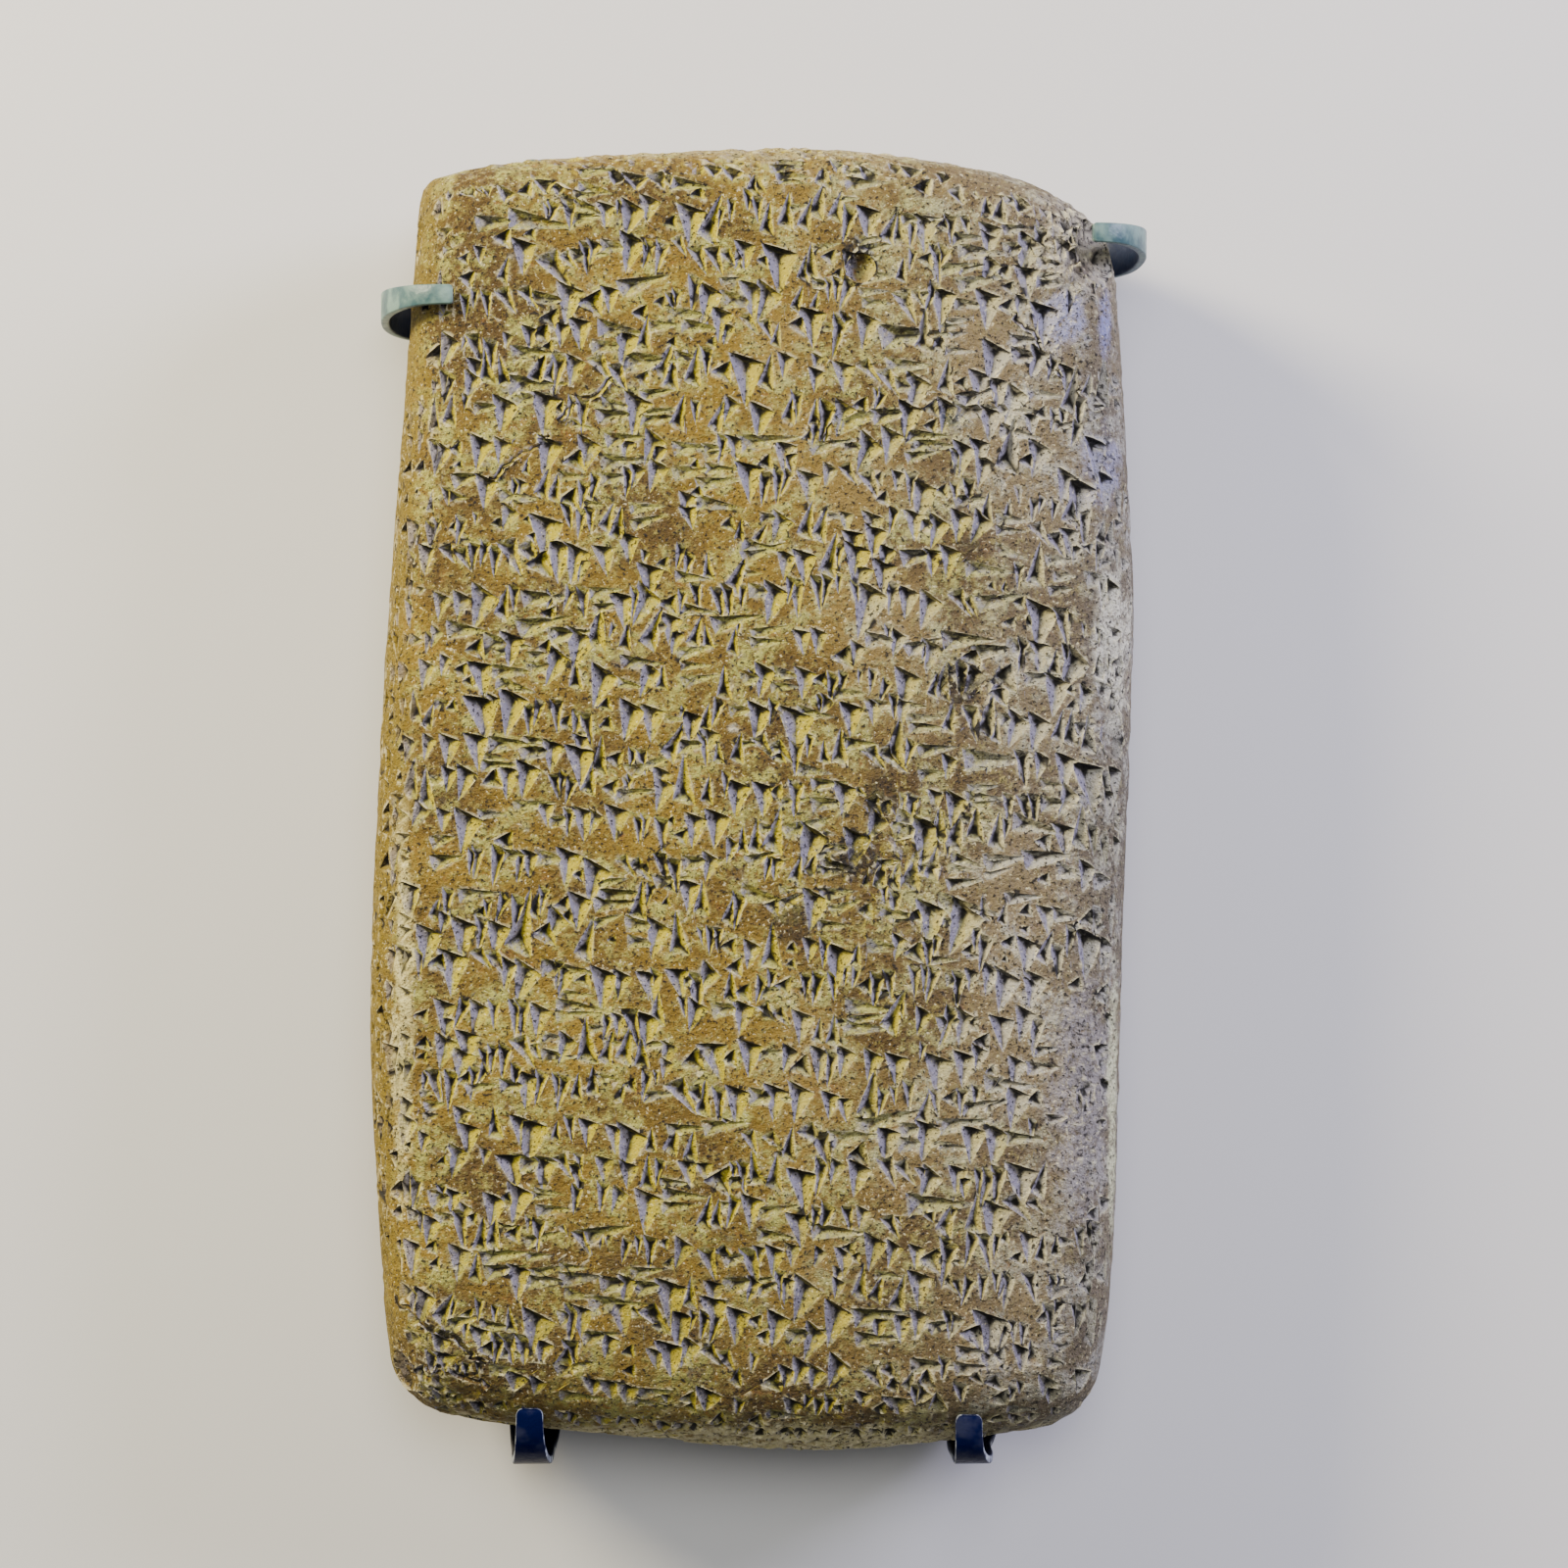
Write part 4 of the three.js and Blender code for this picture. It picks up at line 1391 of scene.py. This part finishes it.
    def stained_and_lit(self, points: np.ndarray, cloud: np.ndarray) -> np.ndarray:
        """Lay the discoloured patches over each other, the painted light and shade among them.

        Args:
            points: one row of millimetres for each point.
            cloud: cloudy noise, which makes their edges uneven.

        Returns:
            Each point's colour, and how much of it there is.
        """
        paint = np.zeros((len(points), 4))
        level = points[:, 2] + self.stain_and_light_level_waver * cloud
        for stain in self.stains_and_light:
            cover = stain.spot.cover(points) / stain.spot.strength
            above = smooth_step(level, stain.lowest, stain.lowest + self.stain_and_light_level_band)
            patch = smooth_step(cover + self.stain_and_light_waver * cloud, *self.stain_and_light_edge)
            share = (above * stain.spot.strength * patch)[:, None]
            paint[:, :3] = paint[:, :3] * (1 - share) + np.array(linear(stain.colour)[:3]) * share
            paint[:, 3:] = paint[:, 3:] * (1 - share) + share
        paint[:, :3] /= np.maximum(paint[:, 3:], self.faintest)
        return paint

    def lit_wall(self, points: np.ndarray, cloud: np.ndarray) -> np.ndarray:
        """Tell how far each point belongs to the left wall, which is painted yellower than the face, where
        the warm light falls on it.

        Args:
            points: one row of millimetres for each point.
            cloud: cloudy noise, which makes the wall's edges uneven.

        Returns:
            A share for each point.
        """
        edge = np.interp(points[:, 1], self.wall_ups, self.wall_edges)
        outside = edge + self.wall_reach - points[:, 0] + self.wall_waver * cloud
        high = smooth_step(points[:, 2] + self.wall_level_waver * cloud, *self.wall_levels)
        return smooth_step(outside, 0, self.wall_band) * high

    def pressed_faces(self, mesh: bpy.types.Mesh, smooth: bpy.types.Mesh) -> dict[str, np.ndarray]:
        """Compare each face with the body as it was before it was pressed.

        Args:
            mesh: the roughened body.
            smooth: the body before.

        Returns:
            How far each face falls to the right, whether a stroke pressed it, and how much painted shade it
            takes as the downward wall of a stroke's head.
        """
        surface = BVHTree.FromPolygons([v.co for v in smooth.vertices], [p.vertices for p in smooth.polygons])
        before = np.array([surface.find_nearest(face.center)[1] for face in mesh.polygons])
        lean = np.array([face.normal for face in mesh.polygons]) - before
        cut = [mesh.materials[face.material_index].name.startswith("pressed") for face in mesh.polygons]
        # Painted shade: pressed walls that face down, away from the lights, at the strokes' heads.
        head = smooth_step(-lean[:, 1], *self.head_shade_lean) * cut
        return {"fall": lean[:, 0], "pressed": np.array(cut, float), "head": head}

    def soften(self, mesh: bpy.types.Mesh, values: np.ndarray) -> np.ndarray:
        """Let the values of neighbouring faces run into each other at their corners.

        Args:
            mesh: the mesh.
            values: one value for each face.

        Returns:
            One value for each corner of each face.
        """
        sides = np.empty(len(mesh.polygons), dtype=np.int32)
        mesh.polygons.foreach_get("loop_total", sides)
        point = np.empty(len(mesh.loops), dtype=np.int32)
        mesh.loops.foreach_get("vertex_index", point)
        own = np.repeat(values, sides)
        around = np.bincount(point, own) / np.bincount(point)
        return self.sharpness * own + (1 - self.sharpness) * around[point]

    def hollows(self, mesh: bpy.types.Mesh, points: np.ndarray) -> np.ndarray:
        """Tell for each point how hollow the surface is there: above 0 in a crease, below 0 on a ridge.

        Args:
            mesh: the body.
            points: its points in millimetres.

        Returns:
            One value for each point.
        """
        pairs = np.empty(len(mesh.edges) * 2, dtype=np.int32)
        mesh.edges.foreach_get("vertices", pairs)
        one, other = pairs.reshape(-1, 2).T
        total, length = np.zeros_like(points), np.zeros(len(points))
        step = points[other] - points[one]
        size = np.linalg.norm(step, axis=1)
        for end, way in ((one, step), (other, -step)):
            np.add.at(total, end, way)
            np.add.at(length, end, size)
        return np.einsum("ij,ij->i", total, point_rows(mesh, "normal")) / np.maximum(length, self.shortest)


@dataclass(frozen=True)
class PaintFinish:
    """Paint on bent metal: pale edges, rubbed on grey and a painted highlight on navy; painted shade inside.
    """

    colour: str
    rubbed_and_highlight_colour: str
    inner_shade_colour: str
    roughness: float
    gleam: float
    fading: float
    scuff: Speckle = Speckle(900.0, 4, 0.6)
    haze: Speckle = Speckle(260.0, 3)
    rubbed_and_highlit: Range = (1.25, 1.65)
    rubbed_and_highlit_waver: float = 0.8
    faded: Range = (0.4, 0.6)
    rough_waver: float = 0.25
    rough_middle: float = 0.12
    bump_strength: float = 0.6
    bump_height: float = 0.0002

    def material(self, name: str) -> bpy.types.Material:
        """Make the material.

        Args:
            name: its name.

        Returns:
            The material.
        """
        graph = Surface(name)
        scuff, haze = graph.speckle(self.scuff), graph.speckle(self.haze)
        edge = graph.math("MULTIPLY_ADD", scuff, self.rubbed_and_highlit_waver, graph.attribute("edge"))
        shade = graph.tint(graph.part(haze, self.faded, self.fading), linear(self.colour), self.rubbed_and_highlight_colour)
        # Painted shade: the inner faces, turned towards the clay, darker.
        paint = graph.tint(graph.attribute("inner"), shade, self.inner_shade_colour)
        # Pale edges: rubbed wear on the grey paint, a painted highlight on the navy paint.
        colour = graph.tint(graph.between(edge, self.rubbed_and_highlit), paint, self.rubbed_and_highlight_colour)
        rough = graph.math("MULTIPLY_ADD", haze, self.rough_waver, self.roughness - self.rough_middle)
        feeds = {"Base Color": colour, "Roughness": rough, "Specular IOR Level": self.gleam}
        return graph.finish(feeds, scuff, self.bump_strength, self.bump_height)


@dataclass(frozen=True)
class ClawShape:
    """The strip that a claw is bent from, and its bend."""

    tip_width: float
    width: float
    power: float
    tip_radius: float
    thickness: float = 1.0
    edge: float = 0.28
    edge_steps: int = 3
    taper: float = 0.9
    tip_fullness: float = 0.8
    clearance: float = 0.32
    rear_overlap: float = 5.0
    crease_angle: float = 40.0
    arris_start: float = 0.8
    arris_facing: Range = (-0.2, 0.4)
    inner_facing: Range = (-0.1, 0.3)


@dataclass(frozen=True)
class Bend:
    """The middle line of a bent strip: its points in millimetres, and how far round the bend each one is."""

    points: np.ndarray
    shares: np.ndarray


@dataclass
class Claw:
    """A strip of metal bent round the tablet's rim.

    Its place along its side is measured from the tablet's middle. It reaches over the face by its overlap,
    bulges out round the rim, and its rear end has drifted along the side.
    """

    name: str
    side: Side
    shape: ClawShape
    slot: str
    middle: float
    overlap: float
    bulge: float
    drift: float
    stations: int = 26
    lines: int = 84
    tip_crowding: float = 1.35

    @property
    def outwards(self) -> float:
        """Tell whether out from the tablet's middle is the way that its axis counts up, 1, or down, -1."""
        return 1.0 if self.side is Side.RIGHT else -1.0

    def grip(self, form: ClayForm, inside: float, sheet: Sheet, along: float) -> np.ndarray:
        """Find where the clay is at a distance in from its rim.

        Args:
            form: the body that is gripped.
            inside: the distance in millimetres.
            sheet: the face or the back.
            along: how far round the bend the place is.

        Returns:
            The distance out from the tablet's middle and the height.
        """
        foot = self.side is Side.BOTTOM
        half = (form.width if foot else form.height) / 2
        station = np.array((self.middle + self.drift * along) / half)
        span = form.height_at(station) if foot else form.width_at(station)
        share = np.array(self.outwards * (1 - 2 * inside / span))
        point = form.points(station, share, sheet) if foot else form.points(share, station, sheet)
        return np.array([self.outwards * (point[1] if foot else point[0]), point[2]])

    def bend(self, form: ClayForm) -> Bend:
        """Find the middle line of the strip, from its tip on the face round to its end at the back.

        Args:
            form: the body that it grips.

        Returns:
            The line, in a plane square to the rim.
        """
        shape = self.shape
        rim = self.grip(form, 0.0, Sheet.FACE, 0.5)
        tip = self.grip(form, self.overlap, Sheet.FACE, 0.0)
        rear = self.grip(form, shape.rear_overlap, Sheet.BACK, 1.0)
        angle = np.radians(90) * (1 - np.arange(self.stations) / self.stations)
        ease = 2 / shape.power
        quarters = []
        for end in (tip, rear):
            out = end[0] + (rim[0] - end[0]) * np.cos(angle) ** ease
            height = rim[1] + (end[1] - rim[1]) * np.sin(angle) ** ease
            quarters.append(np.stack([out, height], axis=1))
        line = np.concatenate([quarters[0], [rim], quarters[1][::-1]])
        along = np.gradient(line, axis=0)
        along /= np.linalg.norm(along, axis=1, keepdims=True)
        outward = np.stack([-along[:, 1], along[:, 0]], axis=1)
        shares = np.arange(len(line)) / (len(line) - 1)
        stand_off = shape.clearance + shape.thickness / 2 + self.bulge * np.sin(np.pi * shares) ** 2
        line = line + outward * stand_off[:, None]
        lengths = lengths_along(line)
        stops = lengths[-1] * (np.arange(self.lines) / (self.lines - 1)) ** self.tip_crowding
        out, height, shares = (np.interp(stops, lengths, values) for values in (*line.T, shares))
        still = np.full(len(stops), self.middle)
        away = self.outwards * out
        columns = (still, away, height) if self.side is Side.BOTTOM else (away, still, height)
        return Bend(np.stack(columns, axis=1), shares)

    def tree(self) -> GeometryTree:
        """Build the tree that runs a flat strip with soft edges along the bend.

        Returns:
            The tree.
        """
        tree = GeometryTree("Bent strip")
        width, thickness, edge = (
            tree.input(name, "NodeSocketFloat") for name in ("Width", "Thickness", "Edge radius"))
        section = tree.add("GeometryNodeCurvePrimitiveQuadrilateral", {"Width": width, "Height": thickness})
        feeds = {
            "Curve": section.outputs[0], "Radius": edge, "Count": self.shape.edge_steps, "Limit Radius": True}
        tree.sweep(tree.add("GeometryNodeFilletCurve", feeds, mode="POLY").outputs[0])
        return tree

    def build(self, form: ClayForm, material: bpy.types.Material) -> bpy.types.Object:
        """Make the claw.

        Args:
            form: the body that it grips.
            material: its paint.

        Returns:
            The finished claw.
        """
        bend, shape = self.bend(form), self.shape
        guide = new_path("bend", bend.points)
        strip = self.tree().run(guide, self.name + "_strip", {
            "Width": shape.width * MM, "Thickness": shape.thickness * MM, "Edge radius": shape.edge * MM,
            "Material": material})
        discard([guide])
        self.taper(strip, bend)
        strip.shade_smooth()
        strip.set_sharp_from_angle(angle=math.radians(shape.crease_angle))
        return new_object(self.name + "_strip", strip)

    def taper(self, strip: bpy.types.Mesh, bend: Bend) -> None:
        """Narrow the strip towards its tip, round the tip, let it drift along the rim, and mark the edges and
        the inner faces, which take painted shade.

        Args:
            strip: the mesh, which is changed.
            bend: the line that it follows.
        """
        shape, line, points = self.shape, bend.points, mesh_points(strip)
        axis = 0 if self.side is Side.BOTTOM else 1
        flat = np.delete(points, axis, axis=1)[:, None] - np.delete(line, axis, axis=1)[None]
        nearest = np.argmin(np.linalg.norm(flat, axis=2), axis=1)
        share = smooth_step(bend.shares[nearest], 0, shape.taper)
        width = shape.tip_width + (shape.width - shape.tip_width) * share
        round_off = 1 - np.clip(lengths_along(line)[nearest] / shape.tip_radius, 0, 1)
        width = width - 2 * shape.tip_radius * (1 - np.sqrt(1 - round_off ** 2)) * shape.tip_fullness
        sideways = points[:, axis] - self.middle
        drift = self.drift * smooth_step(bend.shares[nearest], 0, 1)
        points[:, axis] = self.middle + drift + sideways * width / shape.width
        move_points(strip, points)
        away = points - line.mean(axis=0)
        outward = point_rows(strip, "normal")
        facing = np.einsum("ij,ij->i", outward, away) / np.linalg.norm(away, axis=1)
        half = shape.width / 2
        at_edge = smooth_step(np.abs(sideways), half * shape.arris_start, half)
        store(strip, "edge", "FLOAT", "POINT", at_edge * smooth_step(facing, *shape.arris_facing))
        # The inner faces, turned towards the clay, take painted shade.
        store(strip, "inner", "FLOAT", "POINT", smooth_step(-facing, *shape.inner_facing))


@dataclass(frozen=True)
class Lamp:
    """A soft round light: its name, place, width in millimetres, power in watts and tint."""

    name: str
    place: tuple[float, float, float]
    width: float
    power: float
    tint: str


@dataclass
class Studio:
    """The floor, the lights and the camera."""

    floor_half: float = 4000.0
    floor_colour: str = "d6d5d2"
    floor_roughness: float = 0.9
    lamps: Sequence[Lamp] = (
        Lamp("key", (-490, 350, 275), 240, 10.8, "fff1cf"),
        Lamp("fill", (530, 310, 275), 280, 6.5, "e0deff"),
        Lamp("top", (0, 240, 750), 400, 3.2, "ffffff"),
    )
    lit_place: tuple[float, float, float] = (0, 0, 20)
    sky: tuple[float, float, float, float] = (0.9, 0.92, 1.0, 1.0)
    sky_strength: float = 0.2
    view_width: float = 191.0
    target: tuple[float, float, float] = (3.8, 2.0, 13.0)
    distance: float = 445.0
    offset: float = 26.0

    def build(self) -> None:
        """Set up everything that isn't part of the object."""
        self.floor()
        for lamp in self.lamps:
            self.light(lamp)
        self.camera()
        world = bpy.context.scene.world or bpy.data.worlds.new("studio")
        bpy.context.scene.world = world
        world.use_nodes = True
        graph = Graph(world.node_tree)
        sky = graph.add("ShaderNodeBackground", {"Color": self.sky, "Strength": self.sky_strength})
        graph.add("ShaderNodeOutputWorld", {"Surface": sky.outputs[0]})

    def floor(self) -> None:
        """Make the plain pale floor."""
        far = self.floor_half
        corners = np.array([[-far, -far, 0], [far, -far, 0], [far, far, 0], [-far, far, 0]])
        mesh = mesh_from("floor", corners, [(0, 1, 2, 3)])
        made = bpy.data.materials.new("floor")
        made.use_nodes = True
        shader = made.node_tree.nodes["Principled BSDF"]
        shader.inputs["Base Color"].default_value = linear(self.floor_colour)
        shader.inputs["Roughness"].default_value = self.floor_roughness
        mesh.materials.append(made)
        new_object("floor", mesh)

    def light(self, lamp: Lamp) -> None:
        """Hang a light that faces the tablet.

        Args:
            lamp: the light.
        """
        data = bpy.data.lights.new(lamp.name, "AREA")
        data.shape = "DISK"
        data.size = lamp.width * MM
        data.energy = lamp.power
        data.color = linear(lamp.tint)[:3]
        made = new_object(lamp.name, data)
        made.location = Vector(lamp.place) * MM
        towards = Vector(self.lit_place) - Vector(lamp.place)
        made.rotation_euler = towards.to_track_quat("-Z", "Y").to_euler()

    def camera(self) -> None:
        """Look down on the face from slightly left of its middle."""
        lens = bpy.data.cameras.new("camera")
        lens.sensor_fit = "AUTO"
        lens.angle = 2 * math.atan(self.view_width / 2 / self.distance)
        made = new_object("camera", lens)
        target = Vector(self.target)
        eye = target + Vector((-self.offset, 0, math.sqrt(self.distance ** 2 - self.offset ** 2)))
        back = (eye - target).normalized()
        right = Vector((0, 1, 0)).cross(back).normalized()
        made.location = eye * MM
        made.rotation_euler = Matrix((right, back.cross(right), back)).transposed().to_euler()
        bpy.context.scene.camera = made


SIDE_STRIP = ClawShape(tip_width=2.3, width=4.8, power=2.6, tip_radius=0.5)
FOOT_STRIP = ClawShape(tip_width=3.2, width=6.6, power=4.0, tip_radius=0.9)
CLAWS = (
    Claw(
        "claw_upper_left", Side.LEFT, SIDE_STRIP, "grey_paint",
        middle=59.5, overlap=5.8, bulge=1.9, drift=-0.6),
    Claw(
        "claw_upper_right", Side.RIGHT, SIDE_STRIP, "grey_paint",
        middle=67.5, overlap=4.9, bulge=1.9, drift=-0.3),
    Claw(
        "claw_lower_left", Side.BOTTOM, FOOT_STRIP, "navy_paint",
        middle=-27.0, overlap=4.25, bulge=2.3, drift=0.6),
    Claw(
        "claw_lower_right", Side.BOTTOM, FOOT_STRIP, "navy_paint",
        middle=25.0, overlap=5.4, bulge=0.5, drift=3.2),
)
PAINTS = {
    # Each paint's inner colour is painted shade on the faces turned towards the clay; the grey paint's pale
    # edges are rubbed wear.
    "grey_paint": PaintFinish(
        colour="3a575a", rubbed_and_highlight_colour="8aa698", inner_shade_colour="1c2842", roughness=0.4, gleam=0.35, fading=0.5),
    # Partly the metal's own blue, mostly painted shade: near-black as its faces are unlit, with a painted
    # highlight along its edges.
    "navy_paint": PaintFinish(
        colour="040a30", rubbed_and_highlight_colour="dfe8ee", inner_shade_colour="050a1e", roughness=0.3, gleam=0.03, fading=0.02),
}


def main() -> None:
    """Build the pieces in order and tell the frame what each one stands for."""
    Studio().build()
    tablet = Tablet()
    clay = tablet.build()
    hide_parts("tablet")
    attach(clay, "root")
    LOG.info("tablet: %d faces", len(clay.data.polygons))
    paints = {slot: finish.material(slot) for slot, finish in PAINTS.items()}
    for claw in CLAWS:
        strip = claw.build(tablet.form, paints[claw.slot])
        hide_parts(claw.name)
        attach(strip, "root")
        LOG.info("%s: %d faces", claw.name, len(strip.data.polygons))


if __name__ == "__main__":
    logging.basicConfig(level=logging.INFO, format="%(name)s: %(message)s")
    main()
